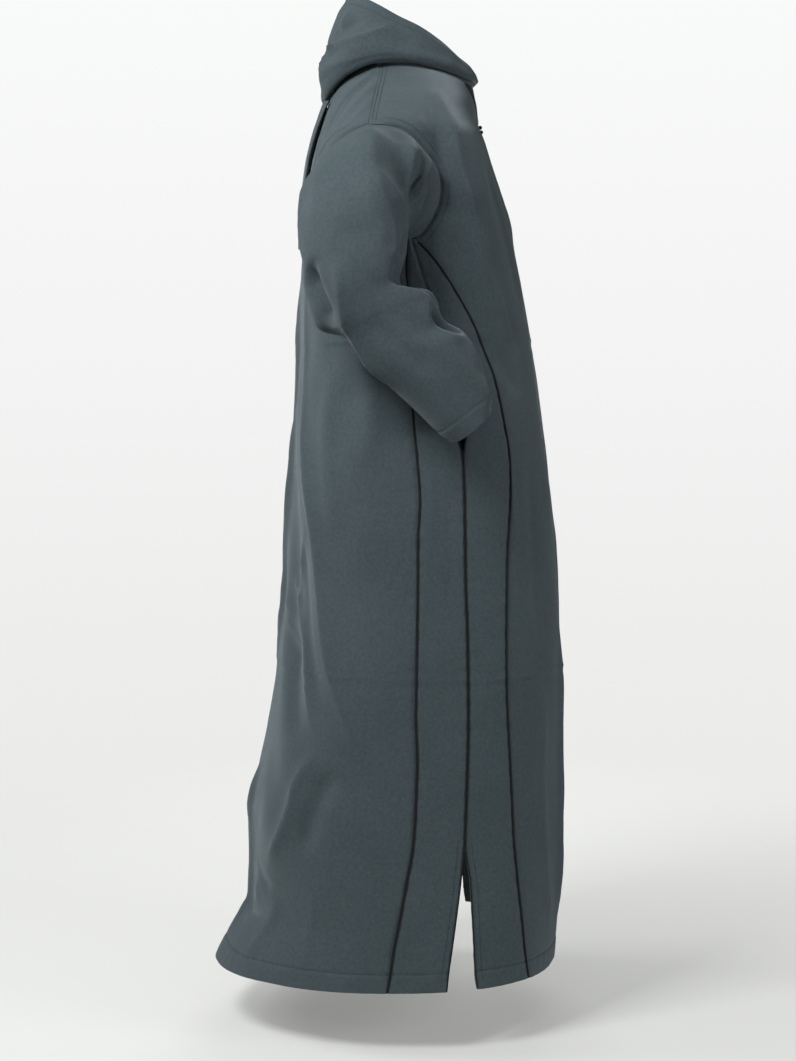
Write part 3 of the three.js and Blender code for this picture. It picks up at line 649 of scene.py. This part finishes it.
CREASE_ROWS = np.arange(-16, 19, 2)
crease_rows = [level + CREASE_ROWS for level, _rise, _width in PACKING_CREASES]
plain_rows = np.arange(UNDERARM_Z - PANEL_ROW, HEM_ROWS[0], -PANEL_ROW)
for rows in crease_rows:
    plain_rows = plain_rows[(plain_rows > rows.max() + 1) | (plain_rows < rows.min() - 1)]
skirt_rows = np.sort(np.concatenate([plain_rows, *crease_rows, HEM_ROWS]))[::-1]
body_rows = np.concatenate([
    np.linspace(0, SHOULDER_END_Z, 24), np.linspace(SHOULDER_END_Z, NECK_BAND_Z, 7)[1:],
    np.linspace(NECK_BAND_Z, UNDERARM_Z, 36)[1:], skirt_rows])
front_panel = panel("front_cloth", body_rows, front_lines, front_top)
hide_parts("front_panel")
back_panel = panel("back_cloth", body_rows, back_lines)
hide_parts("back_panel")

# ---- Side gores
# Four long flared gores let the skirt out from the underarm down, two a side. Their
# side seam is left open for the hand slit at the hip and for the vent at the hem.
GORE_COLUMNS = {"front": 22, "back": 26}


def gore(name, side, first, last, count):
    """A gore between two seams, named by their columns in the table of seams."""
    def lines(z):
        start, end = (angle_at(z, read(SEAMS, column, z), side)[:, None] for column in (first, last))
        share = (1 - np.cos(np.linspace(0, math.pi, count))) / 2
        return start + (SEAM_GAP + share * (abs(end - start) - 2 * SEAM_GAP)) * side

    rows = np.concatenate([[UNDERARM_Z], skirt_rows])
    if side < 0:
        return panel(name, rows, lambda z: lines(z)[:, ::-1])
    return panel(name, rows, lines)


for side_name, side in (("right", -1), ("left", 1)):
    front_gore = gore(f"front_gore_{side_name}", side, "front", "side_front", GORE_COLUMNS["front"])
    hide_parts(f"side_front_gore_{side_name}")
    back_gore = gore(f"back_gore_{side_name}", side, "side_back", "back", GORE_COLUMNS["back"])
    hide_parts(f"side_back_gore_{side_name}")

# ---- Seam cords and slit edgings
# Flat plaited cord of black cotton and silk, sewn over both gore seams from the
# underarm to the hem, and a finer one along each edge of the hand slits and vents.
CORD_WIDTH, CORD_HEIGHT = 3.2, 1.6
EDGING_WIDTH, EDGING_HEIGHT = 1.5, 1.1
CORD_TOP_Z, EDGING_TOP_Z = -292, -450
CORD_LIFT = 0.1
CORD_STEP, CORD_COLUMNS = 1.7, 9
PLAIT_PITCH, PLAIT_SWELL = 4.2, 0.16
CORD_BLACK, CORD_GREY = (0.006, 0.006, 0.007, 1), (0.02, 0.02, 0.021, 1)

black_cord, black, black_shader = material("black_cord", 0.1, (1, 1, 1, 1))
place = black.node("TexCoord", {}, {}, "Object")
fibre = black.node("TexNoise", {}, {"Vector": place, "Scale": 900.0, "Detail": 3.0, "Roughness": 0.6})
colour = black.node("ValToRGB", {"stops": [(0.3, CORD_BLACK), (0.75, CORD_GREY)]}, {"Fac": fibre})
bump = black.node("Bump", {}, {"Height": fibre, "Strength": 0.4, "Distance": 0.0004})
rough = 0.55 + fibre * 0.25
connect(black, black_shader, colour, rough, bump)


def cord(name, node, middle, top_z, width, height):
    """Half-round plaited cord on the cloth, along middle(z) from top_z to the hem."""
    rows = np.arange(top_z, HEM_Z + 0.5, -CORD_STEP)[:, None]
    share = np.linspace(-1, 1, CORD_COLUMNS)[None, :]
    angle = middle(rows) + share * width / 2 / DEGREE_MM
    plait = 1 + PLAIT_SWELL * np.cos(2 * math.pi * (rows / PLAIT_PITCH + np.abs(share) * 0.5))
    crown = np.sqrt(np.clip(1 - share ** 2, 0.02, 1)) * plait * height
    points, normals = cloth_face(angle, rows)
    inner = points + normals * CORD_LIFT
    outer = inner + normals * crown[..., None]
    uv = np.stack([angle * DEGREE_MM, rows + 0 * angle], -1)
    made = wall(name, outer, inner, uv, black_cord)
    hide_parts(node)


for side_name, side in (("right", -1), ("left", 1)):
    for branch in ("front", "back"):
        def seam_line(z):
            return angle_at(z, read(SEAMS, branch, z), side)

        def slit_line(z):
            inward = -side if branch == "front" else side
            edge = angle_at(z, read(SEAMS, f"side_{branch}", z), side)
            return edge + inward * EDGING_WIDTH / 2 / DEGREE_MM

        cord(f"{branch}_seam_cord_{side_name}", f"{branch}_cord_{side_name}", seam_line,
             CORD_TOP_Z, CORD_WIDTH, CORD_HEIGHT)
        cord(f"{branch}_edging_{side_name}", f"{branch}_slit_edging_{side_name}", slit_line,
             EDGING_TOP_Z, EDGING_WIDTH, EDGING_HEIGHT)

# ---- Sleeves
# One piece of wool each, set into the armhole and widest there. The arm is bent, so the
# cloth bunches in the crook, tucks under the elbow and hangs from the forearm.
SLEEVE = table(
    "x y z across out tilt lean",
    [-278, 17, -221, 101, 77, 8, 67], [-297, 31, -253, 90, 65, 10, 45], [-311, 38, -287, 81, 58, 6, 23],
    [-319, 38, -324, 76, 58, 6, 6], [-322, 38, -356, 72, 58, 14, 0], [-322, 27, -386, 70, 57, 27, 0],
    [-324, -10, -412, 72, 56, 29, 0], [-328, -37, -450, 68, 55, 33, 0], [-331, -70, -477, 70, 54, 41, 0],
    [-334, -98, -509, 65, 52, 45, 0], [-335, -119, -547, 51, 50, 42, -5],
    [-335, -132, -567, 40, 48, 42, -10])
SLEEVE_FOLDS = table(
    "ring angle rings degrees slant depth",
    [1.2, 62, 0.9, 22, 10, -14], [2.4, 20, 2.2, 13, 16, 7], [4.9, 78, 0.5, 40, 0, -10],
    [6.0, 70, 0.5, 36, 0, 7], [6.2, 250, 0.7, 30, -20, -8], [5.3, 262, 0.5, 34, 0, 6],
    [8.6, 50, 2.4, 16, 0, 6], [9.0, 15, 2.0, 15, 0, -5], [1.1, 94, 0.7, 34, 0, -17],
    [0.1, 104, 0.55, 32, 0, -14], [8.6, 270, 2.6, 55, 0, -6])
# Sharper creases of the sleeve: the widths of the flanks to the front and to the rear,
# height, softness, and the course down the sleeve, as rings and degrees round it.
SLEEVE_CREASES = [
    (20, 44, 12.0, 1.0, [(-1.0, 2), (-0.2, 8), (0.6, 12), (1.2, 18), (1.6, 34), (1.9, 56), (2.1, 82)]),
    (15, 15, -7.0, 2.0, [(-0.8, 26), (0.3, 34), (1.0, 50), (1.5, 68)]),
    (12, 26, 8.0, 1.0, [(1.1, 16), (2.1, 30), (2.9, 45), (3.6, 52), (4.2, 70)]),
    (12, 12, -4.0, 2.0, [(1.9, 44), (2.7, 58), (3.2, 70)]),
    (6, 15, 8.0, 1.0, [(-0.5, 46), (0.3, 49), (0.9, 63), (1.5, 80), (1.9, 92)]),
    (9, 9, -9.0, 2.0, [(-0.7, 62), (0.3, 66), (1.0, 82), (1.5, 96)]),
    (7, 8, 4.0, 1.3, [(-0.9, 42), (-0.9, 70), (-0.6, 92), (0.4, 99), (1.7, 104)]),
    (6, 7, -7.0, 1.5, [(3.9, 44), (3.5, 58), (2.9, 76), (2.4, 94)]),
    (9, 13, 4.0, 1.5, [(3.4, 36), (3.9, 54), (4.3, 82)]),
    (10, 24, 10.0, 1.0, [(3.9, 50), (4.7, 40), (5.6, 44), (6.3, 50), (6.9, 42), (7.5, 38)]),
    (9, 9, -8.0, 2.0, [(4.8, 58), (5.5, 60), (6.1, 72), (6.4, 90)]),
    (11, 11, -14.0, 2.0, [(6.4, 56), (7.0, 58), (7.6, 62), (8.1, 64)]),
    (16, 28, 14.0, 1.0, [(7.2, 42), (7.9, 32), (8.7, 28), (9.6, 36), (10.4, 50), (10.9, 60)]),
    (11, 11, -5.0, 2.0, [(8.0, 50), (8.9, 46), (9.8, 56)]),
    (19, 17, -20.0, 2.0, [(3.5, 290), (4.3, 298), (5.0, 305), (5.8, 306)]),
    (16, 10, 12.0, 1.0, [(3.5, 334), (4.5, 341), (5.4, 334), (6.1, 314), (7.4, 294), (8.6, 286)]),
    (12, 14, 4.0, 1.6, [(2.9, 262), (4.1, 264), (5.2, 270), (6.0, 280)]),
    (14, 14, -2.6, 2.0, [(3.1, 335), (3.1, 355), (3.0, 15), (3.1, 34)]),
    (12, 12, 3.0, 1.6, [(-0.8, 318), (0.4, 322), (1.8, 316), (3.0, 318)]),
    (12, 12, -3.4, 2.0, [(-0.8, 296), (0.6, 304), (2.0, 298)]),
    (9, 12, 3.0, 1.4, [(-0.7, 272), (0.8, 280), (2.3, 272), (3.4, 262)]),
    (14, 14, -3.0, 2.0, [(6.0, 340), (7.4, 352), (8.8, 350)]),
    (12, 14, 3.0, 1.6, [(6.6, 12), (8.0, 16), (9.8, 12)]),
    (8, 9, 4.5, 1.3, [(3.4, 130), (4.4, 140), (5.0, 160), (4.6, 190)]),
    (9, 8, 4.5, 1.3, [(5.2, 120), (6.0, 140), (6.4, 170), (6.2, 200)]),
    (12, 12, -4.5, 2.0, [(6.8, 130), (7.6, 150), (8.6, 160)]),
    (10, 12, 4.0, 1.4, [(0.2, 150), (1.6, 160), (2.8, 172), (3.6, 190)])]
CUFF_TURN, CUFF_STEP, CUFF_GROOVE, CUFF_SOFT = 25, 0.8, 0.9, 2
# The left sleeve has the same creases, a little along, round and lower.
FAR_RING, FAR_TURN, FAR_SHARE = 0.12, 0.95, 0.9
# Rings from the armhole over which the folds and the creases come free of the seam.
FOLDS_FREE, CREASES_FREE = 1.2, 0.5
ARMHOLE_LIFT = -0.4
SLEEVE_GAP = 0.5
SLEEVE_COLUMNS = 128
SLEEVE_STEPS = 150
RING_MM, TURN_MM = 33, 1.25


def row_at(wanted, distance, grid, normals):
    """The row of a grid that lies at the wanted distance from its last one, with normals."""
    found = []
    for values in (grid, normals):
        found.append(np.array([
            [np.interp(wanted, distance[::-1, c], values[::-1, c, k]) for k in range(3)]
            for c in range(grid.shape[1])]))
    return found


def ring_points(i, degrees, side):
    """Points round one ring of the sleeve, from its outer side forward."""
    tilt, lean = math.radians(SLEEVE["tilt"][i]), math.radians(SLEEVE["lean"][i])
    turn = np.radians(degrees)[:, None]
    front = np.array([0, -math.cos(tilt), math.sin(tilt)])
    up = np.array([0, math.sin(tilt), math.cos(tilt)])
    outer = np.array([-math.cos(lean), 0, 0]) + up * math.sin(lean)
    middle = np.array([SLEEVE[name][i] for name in "xyz"])
    points = middle + front * SLEEVE["across"][i] * np.sin(turn) + outer * SLEEVE["out"][i] * np.cos(turn)
    return points * [-side, 1, 1]


def armhole_loop(side):
    """Points of the armhole on the body, and the angle round the sleeve of each."""
    points, degrees = [], []
    for start, branch in ((0, armhole_front), (180, armhole_back[::-1])):
        angle = angle_at(branch[:, 1], branch[:, 0], side)
        course = body_surface(angle, branch[:, 1], ARMHOLE_LIFT)
        length = np.concatenate([[0], np.cumsum(np.linalg.norm(np.diff(course, axis=0), axis=1))])
        even = np.linspace(0, length[-1], SLEEVE_COLUMNS // 2, endpoint=False)
        points.append(np.stack([np.interp(even, length, course[:, k]) for k in range(3)], -1))
        degrees.append(start + 180 * even / length[-1])
    return np.concatenate(points), np.concatenate(degrees)


def sleeve_fold(ring, degrees):
    """How far the sleeve's broad folds lift its cloth."""
    height = 0 * (ring + degrees)
    for i, start in enumerate(SLEEVE_FOLDS["ring"]):
        past = (ring - start) / SLEEVE_FOLDS["rings"][i]
        middle = SLEEVE_FOLDS["angle"][i] + SLEEVE_FOLDS["slant"][i] * past
        away = turn_from(degrees, middle) / SLEEVE_FOLDS["degrees"][i]
        height += SLEEVE_FOLDS["depth"][i] * np.exp(-past ** 2 - away ** 2)
    return height


def outward(grid, normals):
    """The normals of a tube's grid, turned to point away from its middle line."""
    middle = grid.mean(axis=1, keepdims=True)
    inward = np.sum(normals * (grid - middle), axis=-1, keepdims=True) < 0
    return np.where(inward, -normals, normals)


cuff_rows = {}
for side_name, side in (("right", -1), ("left", 1)):
    loop, degrees = armhole_loop(side)
    keys = np.stack([ring_points(i, degrees, side) for i in range(len(SLEEVE["x"]))])
    leave = keys[0] - loop
    start = loop + SLEEVE_GAP * leave / np.linalg.norm(leave, axis=1, keepdims=True)
    keys = np.concatenate([start[None], keys])
    tube = np.stack([curve_through(keys[:, c], SLEEVE_STEPS) for c in range(SLEEVE_COLUMNS)], 1)
    ring = np.linspace(-1, len(SLEEVE["x"]) - 1, SLEEVE_STEPS)[:, None]
    normals = outward(tube, grid_normals(tube, closed=True))
    fade = np.clip((ring + 1) / FOLDS_FREE, 0, 1)
    lift = fade * sleeve_fold(ring, degrees[None, :])
    free = np.clip((ring + 1) / CREASES_FREE, 0, 1)
    for front, rear, rise, crisp, course in SLEEVE_CREASES:
        if side > 0:
            rise *= FAR_SHARE
            course = [(max(r + FAR_RING, -1), turn_from(d * FAR_TURN, course[0][1]) + course[0][1])
                      for r, d in course]
        middle = course[0][1]
        line = smooth_course([(turn_from(d, middle), -r) for r, d in course], TURN_MM, RING_MM, 0)
        a, b = np.broadcast_arrays(TURN_MM * turn_from(degrees[None, :], middle), -RING_MM * ring)
        lift += free * crease_height(a, b, front, rear, rise, crisp, line)
    to_cuff = (ring[-1] - ring) * RING_MM
    step = CUFF_STEP * np.clip((CUFF_TURN - to_cuff) / CUFF_SOFT, 0, 1)
    lift += step - CUFF_GROOVE * np.exp(-((to_cuff - CUFF_TURN) / CUFF_SOFT) ** 2)
    outer = tube + normals * lift[..., None]
    face = outward(outer, grid_normals(outer, closed=True))
    inner = outer - face * CLOTH
    cuff_rows[side_name] = row_at(CUFF_TURN, to_cuff + 0 * lift, outer, face)
    wide = np.append(degrees, 360)[None, :] * TURN_MM + 0 * ring
    uv = np.stack([wide, ring * RING_MM + 0 * wide], -1)
    if side > 0:
        outer, inner, uv = outer[:, ::-1], inner[:, ::-1], uv[:, ::-1]
    sleeve = wall(f"sleeve_cloth_{side_name}", outer, inner, uv, wool_cloth, closed=True)
    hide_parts(f"sleeve_{side_name}")

# ---- Hood
# Two halves joined by a centre seam and sewn into the neckline, worn down. It stands as
# an open roll round the neck, and its point hangs flat down the middle of the back.
HOOD_MIDDLE_Y = -40
HOOD_SEAM_RISE, ROLL_TURN, UNDER_SHARE, UNDER_RISE = 0.3, 8, 0.5, 2
HOOD = table(
    "angle edge_r edge_z bulge_r bulge_z foot_r foot_z",
    [3, 108, -6, 114, -13, 115, -21], [22, 109, 2, 116, -9, 117, -21], [39, 100, 17, 112, 0, 117, -19],
    [57, 95, 37, 110, 14, 117, -13], [77, 91, 57, 109, 27, 117, -5], [98, 90, 73, 111, 36, 117, 0],
    [117, 96, 91, 119, 44, 126, -3], [136, 100, 107, 129, 46, 138, -19], [158, 99, 116, 129, 42, 141, -44],
    [179.96, 98, 117, 126, 39, 138, -55])
HOOD_ROWS, HOOD_COLUMNS = 64, 120
HOOD_TURN, HOOD_TURN_LAYER, HOOD_GROOVE, HOOD_GROOVE_WIDTH = 16, 1.8, 0.7, 1.6
HOOD_DEGREE_MM = 2.0
SLIT_SIDE = 4
# The creases start past the foot of the roll and end short of the centre seam.
FREE_SHARE, FREE_ROWS = 0.42, 8
CREASES_END, CREASES_FADE = 178.5, 8
# Creases of the hood, from the back of the neck forward or down, with the widths of
# their flanks to the left and right of that course.
HOOD_CREASES = [
    (24, 7, 11.0, 1.1, [(179, -25), (151, 21), (118, 42), (98, 60)]),
    (9, 10, -7.0, 2.0, [(174, 20), (150, 46), (124, 70)]),
    (6, 9, 8.5, 1.1, [(143, 88), (146, 50), (147, 8)]),
    (10, 9, 5.5, 1.2, [(179, -38), (151, -8), (114, 6), (88, 12)]),
    (8, 8, -5.0, 2.0, [(158, 112), (160, 80), (163, 44)]),
    (8, 9, 4.5, 1.2, [(170, 112), (171, 70), (170, 20)]),
    (16, 10, 2.6, 1.4, [(112, 70), (84, 44), (52, 18), (34, 4)]),
    (12, 12, -2.6, 2.0, [(104, 40), (78, 22), (50, 2)]),
    (10, 10, 2.4, 1.4, [(100, 22), (72, 4), (44, -8)])]


def neckline_point(angle):
    """Neckline point that lies in the direction of a hood station."""
    body = angle

    def height(turn):
        return float(front_top(max(abs(turn), SLIT_SIDE))) if abs(turn) < 90 else 0.0

    for _ in range(12):
        x, y, _z = body_surface(np.array(body), np.array(height(body)))
        body += angle - math.degrees(math.atan2(x, HOOD_MIDDLE_Y - y))
    return body_surface(np.array(body), np.array(height(body))) + [0, 0, HOOD_SEAM_RISE]


def hood_profile(i, side):
    """Course of the cloth at one station, from the neck seam to the face edge."""
    angle, edge_r, edge_z, bulge_r, bulge_z, foot_r, foot_z = (HOOD[name][i] for name in HOOD)
    seam = neckline_point(side * angle)
    seam_r = math.hypot(seam[0], seam[1] - HOOD_MIDDLE_Y)
    turn = ROLL_TURN * min(1, (foot_r - seam_r) / 20)
    under_r = seam_r + (foot_r - turn - seam_r) * UNDER_SHARE
    under_z = seam[2] + (foot_z - seam[2]) * UNDER_SHARE ** 2 + UNDER_RISE
    way = math.radians(side * angle)
    course = [(under_r, under_z), (foot_r - turn, foot_z), (foot_r, foot_z + turn), (bulge_r, bulge_z),
              (edge_r, edge_z)]
    points = [seam]
    for r, z in course:
        points.append(np.array([r * math.sin(way), HOOD_MIDDLE_Y - r * math.cos(way), z]))
    return curve_through(points, HOOD_ROWS)


hood_rows = {}
for side_name, side in (("right", -1), ("left", 1)):
    stations = np.stack([hood_profile(i, side) for i in range(len(HOOD["angle"]))])
    outer = np.stack([curve_through(stations[:, r], HOOD_COLUMNS) for r in range(HOOD_ROWS)])
    normals = grid_normals(outer)
    axis = np.array([0, HOOD_MIDDLE_Y, 0])
    away = np.sum((outer - axis)[HOOD_ROWS // 2:] * normals[HOOD_ROWS // 2:])
    normals *= np.sign(away)
    walked = np.cumsum(np.linalg.norm(np.diff(outer, axis=0, prepend=outer[:1]), axis=-1), axis=0)
    to_edge = walked[-1:] - walked
    turned = np.clip((HOOD_TURN - to_edge) / 2, 0, 1)
    turn = np.degrees(np.arctan2(side * outer[..., 0], HOOD_MIDDLE_Y - outer[..., 1]))
    height = np.zeros(turn.shape)
    for left, right, rise, crisp, course in HOOD_CREASES:
        if side > 0:
            course = [(min(a * 0.96 + 2, 179), z - 5) for a, z in course]
        line = smooth_course(course, HOOD_DEGREE_MM, 1, 0)
        height += crease_height(turn * HOOD_DEGREE_MM, outer[..., 2], left, right, rise, crisp, line)
    rows = np.arange(HOOD_ROWS)[:, None]
    height *= np.clip((rows - HOOD_ROWS * FREE_SHARE) / FREE_ROWS, 0, 1)
    height *= np.clip((CREASES_END - turn) / CREASES_FADE, 0, 1)
    height -= HOOD_GROOVE * np.exp(-((to_edge - HOOD_TURN) / HOOD_GROOVE_WIDTH) ** 2)
    outer = outer + normals * height[..., None]
    inner = outer - normals * (CLOTH + HOOD_TURN_LAYER * turned)[..., None]
    hood_rows[side_name] = row_at(HOOD_TURN, to_edge, outer, normals)
    around = np.cumsum(np.linalg.norm(np.diff(outer, axis=1, prepend=outer[:, :1]), axis=-1), axis=1)
    uv = np.stack([around, walked], -1)
    hood = wall(f"hood_cloth_{side_name}", outer, inner, uv, wool_cloth)
    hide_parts(f"hood_{side_name}")

# ---- Hood point
# The spare depth of the hood, folded flat into a pointed pouch of the same wool. It
# hangs from under the roll down the middle of the back.
POINT_LIFT = 0.7
POINT = table(
    "z width thick",
    [-59, 78, 9], [-80, 74, 10], [-105, 68, 12], [-135, 59, 12], [-170, 48, 11], [-205, 36, 10],
    [-240, 23, 9], [-265, 13, 8], [-285, 7, 7])
POINT_ROWS, POINT_COLUMNS = 90, 72
POINT_AROUND, POINT_LENGTH = 300, 230


def back_angle(x, z):
    """Angle at which the back passes the width x at height z."""
    near, far = np.full(np.shape(x), 90.0), np.full(np.shape(x), 270.0)
    for _ in range(26):
        middle = (near + far) / 2
        before = body_surface(middle, z)[..., 0] > x
        near = np.where(before, middle, near)
        far = np.where(before, far, middle)
    return (near + far) / 2


def pouch(inset):
    """Rings of the pouch's cloth, at a distance inside its outer face."""
    z = np.linspace(POINT["z"][0], POINT["z"][-1], POINT_ROWS)[:, None]
    turn = np.linspace(0, 2 * math.pi, POINT_COLUMNS, endpoint=False)[None, :]
    width, thick = read(POINT, "width", z), read(POINT, "thick", z)
    out = POINT_LIFT + thick / 2 + (thick / 2 - inset) * np.sin(turn)
    x = (width - inset) * np.cos(turn)
    return cloth_surface(back_angle(x, z + 0 * x), z + 0 * x, out)


outer, inner = pouch(0), pouch(CLOTH)
around = np.linspace(0, POINT_AROUND, POINT_COLUMNS + 1)[None, :]
down = np.linspace(0, -POINT_LENGTH, POINT_ROWS)[:, None]
uv = np.stack([around + 0 * down, down + 0 * around], -1)
hood_point = wall("hood_point_cloth", outer[:, ::-1], inner[:, ::-1], uv[:, ::-1], wool_cloth, closed=True)
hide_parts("hood_point")

# ---- Neck braid, partly painted shade, and knot buttons
# Plaited black braid sewn in rows along both sides of the neck slit, and two black knots of the
# same cord one above the other below it. Under the hood the braid is made wide enough to fill the
# dark wedge below the roll, so its black there is partly real braid and partly painted shade of the neck
# opening.
BRAID_LIFT, BRAID_BASE, BRAID_HEIGHT, BRAID_ROWS = 0.4, 0.2, 1.6, 4
BRAID_SWELL, BRAID_PITCH, BRAID_LEAST = 0.18, 3.4, 0.25
BRAID_TOP_Z, BRAID_LOW_Z = -29, -83
# Inner and outer angles of the braid down the slit. The wide outer edge near the top is painted shade of
# the neck opening as well as braid.
BRAID = table(
    "z inner outer",
    [BRAID_TOP_Z, 4.2, 36], [-38, 3.6, 31], [-47, 3.0, 25], [-56, 2.5, 19], [-65, 2.0, 13],
    [-74, 1.4, 8], [BRAID_LOW_Z, 0.6, 4.5])
for side_name, side in (("right", -1), ("left", 1)):
    z = np.linspace(BRAID_TOP_Z, BRAID_LOW_Z, 90)[:, None]
    share = np.linspace(0, 1, 41)[None, :]
    inner_angle, outer_angle = read(BRAID, "inner", z), read(BRAID, "outer", z)
    angle = side * (inner_angle + share * (outer_angle - inner_angle))
    rows = np.abs(np.sin(math.pi * BRAID_ROWS * share))
    plait = 1 + BRAID_SWELL * np.cos(2 * math.pi * (z / BRAID_PITCH + rows * 0.4))
    crown = BRAID_HEIGHT * (BRAID_LEAST + (1 - BRAID_LEAST) * np.sqrt(rows)) * plait
    height = z + 0 * angle
    points, normals = cloth_face(angle, height)
    outer = points + normals * (BRAID_LIFT + crown)[..., None]
    inner = points + normals * (BRAID_LIFT - BRAID_BASE)
    uv = np.stack([angle * DEGREE_MM, height], -1)
    if side < 0:
        outer, inner, uv = outer[:, ::-1], inner[:, ::-1], uv[:, ::-1]
    # Black braid, whose wide upper part under the hood is partly painted shade.
    braid = wall(f"neck_plait_and_shade_{side_name}", outer, inner, uv, black_cord)
    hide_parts(f"neck_braid_{side_name}")

KNOT_RADIUS, KNOT_LIFT, KNOT_HOLLOW = 3.2, 0.35, 0.4
KNOT_HEIGHTS = (-90, -97.5)
KNOT_ROWS, KNOT_COLUMNS, KNOT_POLE = 25, 48, 0.02
STRAND_TWIST, STRAND_FLOOR, STRAND_SWELL = 2.2, 0.86, 0.1
for number, z in enumerate(KNOT_HEIGHTS, 1):
    latitude = np.linspace(KNOT_POLE, math.pi - KNOT_POLE, KNOT_ROWS)[:, None]
    longitude = np.linspace(0, 2 * math.pi, KNOT_COLUMNS, endpoint=False)[None, :]
    way, twist = 3 * longitude / 2, STRAND_TWIST * latitude
    strands = np.abs(np.sin(way + twist)) + np.abs(np.sin(way - twist))
    radius = KNOT_RADIUS * (STRAND_FLOOR + STRAND_SWELL * strands)
    ring = radius * np.sin(latitude)
    ball = np.stack([ring * np.cos(longitude), ring * np.sin(longitude), radius * np.cos(latitude)], -1)
    middle = cloth_surface(np.array(0.0), np.array(float(z)), KNOT_RADIUS + KNOT_LIFT)
    uv = np.zeros((KNOT_ROWS, KNOT_COLUMNS + 1, 2))
    knot = wall(f"knot_{number}", middle + ball, middle + ball * KNOT_HOLLOW, uv, black_cord, closed=True)
    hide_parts(f"knot_button_{number}")

# ---- Topstitching
# Slate thread, sewn through the turned edges by machine: two rows beside the shoulder
# seams and round the armholes, one row on the vents, the cuffs, the hood and the hem.
STITCH, STITCH_GAP, THREAD = 2.8, 1.2, 0.55
THREAD_STATIONS = ((0, 0.1), (0.15, 0.85), (0.5, 1), (0.85, 0.85), (1, 0.1))
THREAD_SIDES = 5
SHOULDER_ROWS, ARMHOLE_ROWS, VENT_ROW, HEM_SUNK = (4, 10), (4, 13), 9, -0.5
SHOULDER_FIRST_Z, SHOULDER_LAST_Z = -10, -108
ARMHOLE_MIDDLE, ARMHOLE_SKIP = (8, -200), 14
VENT_TOP_Z, VENT_CORNER = -1190, 4

slate_thread, _tree, thread_shader = material("slate_thread", 0.15, NAP_TINT)
thread_shader.inputs["Base Color"].default_value = (0.036, 0.048, 0.054, 1)
thread_shader.inputs["Roughness"].default_value = 0.6


def stitches(name, rows):
    """Separate stitches along rows of points on the cloth, each with its unit normals."""
    points, faces = [], []
    for course, normals in rows:
        walk = np.concatenate([[0], np.cumsum(np.linalg.norm(np.diff(course, axis=0), axis=1))])
        first = np.arange(0.5, walk[-1] - STITCH, STITCH + STITCH_GAP)[:, None]
        share, thick = np.array(THREAD_STATIONS).T
        place = first + share * STITCH
        middle, up = (
            np.stack([np.interp(place, walk, v[:, k]) for k in range(3)], -1) for v in (course, normals))
        ahead = np.gradient(middle, axis=1)
        across = np.cross(ahead, up)
        across /= np.linalg.norm(across, axis=-1, keepdims=True)
        turn = np.linspace(0, 2 * math.pi, THREAD_SIDES, endpoint=False)
        radius = (thick * THREAD)[None, :, None, None]
        ring = across[:, :, None] * np.cos(turn)[:, None] + up[:, :, None] * np.sin(turn)[:, None]
        sunk = (middle + up * (THREAD * 0.2))[:, :, None] + ring * radius
        base = sum(len(p) for p in points)
        points.append(sunk.reshape(-1, 3))
        for s in range(len(first)):
            start = base + s * len(share) * THREAD_SIDES
            for i in range(len(share) - 1):
                a = start + i * THREAD_SIDES
                for k in range(THREAD_SIDES):
                    n = (k + 1) % THREAD_SIDES
                    faces.append((a + k, a + n, a + n + THREAD_SIDES, a + k + THREAD_SIDES))
            faces.append(tuple(start + k for k in range(THREAD_SIDES))[::-1])
            end = start + (len(share) - 1) * THREAD_SIDES
            faces.append(tuple(end + k for k in range(THREAD_SIDES)))
    mesh = bpy.data.meshes.new(name)
    mesh.from_pydata((np.concatenate(points) * MM).tolist(), [], faces)
    finished(name, mesh, slate_thread)


def on_body(angle, z, lift=0.0):
    """A row of points on the body's cloth, and the normals there."""
    points, normals = cloth_face(angle, z)
    return points + normals * lift, normals


for side_name, side in (("right", -1), ("left", 1)):
    rows = []
    z = np.linspace(SHOULDER_FIRST_Z, SHOULDER_LAST_Z, 60)
    for offset in SHOULDER_ROWS:
        rows.append(on_body(angle_at(z, SHOULDER_SEAM_BACK * z / SHOULDER_END_Z - offset, side), z))
    stitches(f"shoulder_stitching_{side_name}", rows)
    rows = []
    for hole in (armhole_front, armhole_back):
        along = np.gradient(hole, axis=0)
        away = np.stack([along[:, 1], -along[:, 0]], -1) / np.linalg.norm(along, axis=1, keepdims=True)
        away *= np.sign(np.sum(away * (hole - ARMHOLE_MIDDLE), axis=1, keepdims=True))
        for offset in ARMHOLE_ROWS:
            y, z = (hole + away * offset)[ARMHOLE_SKIP:].T
            rows.append(on_body(angle_at(z, y, side), z))
    stitches(f"armhole_stitching_{side_name}", rows)
    rows = []
    z = np.linspace(VENT_TOP_Z, HEM_Z + VENT_CORNER, 80)
    for branch, inward in (("side_front", -side), ("side_back", side)):
        edge = angle_at(z, read(SEAMS, branch, z), side)
        rows.append(on_body(edge + inward * VENT_ROW / DEGREE_MM, z))
    stitches(f"vent_stitching_{side_name}", rows)
    stitches(f"cuff_stitching_{side_name}", [cuff_rows[side_name]])
    stitches(f"hood_stitching_{side_name}", [hood_rows[side_name]])

rows = []
for branch, far in (("side_front", 0), ("side_back", 360)):
    z = np.array(HEM_Z + HEM_TURN)
    ends = [float(angle_at(z, read(SEAMS, branch, z), side)) for side in (1, -1)]
    corner = VENT_CORNER / DEGREE_MM
    angle = np.linspace(ends[0] - (corner if far == 0 else -corner), ends[1] + far, 500)
    rows.append(on_body(angle, z + 0 * angle, HEM_SUNK))
stitches("hem_stitching", rows)
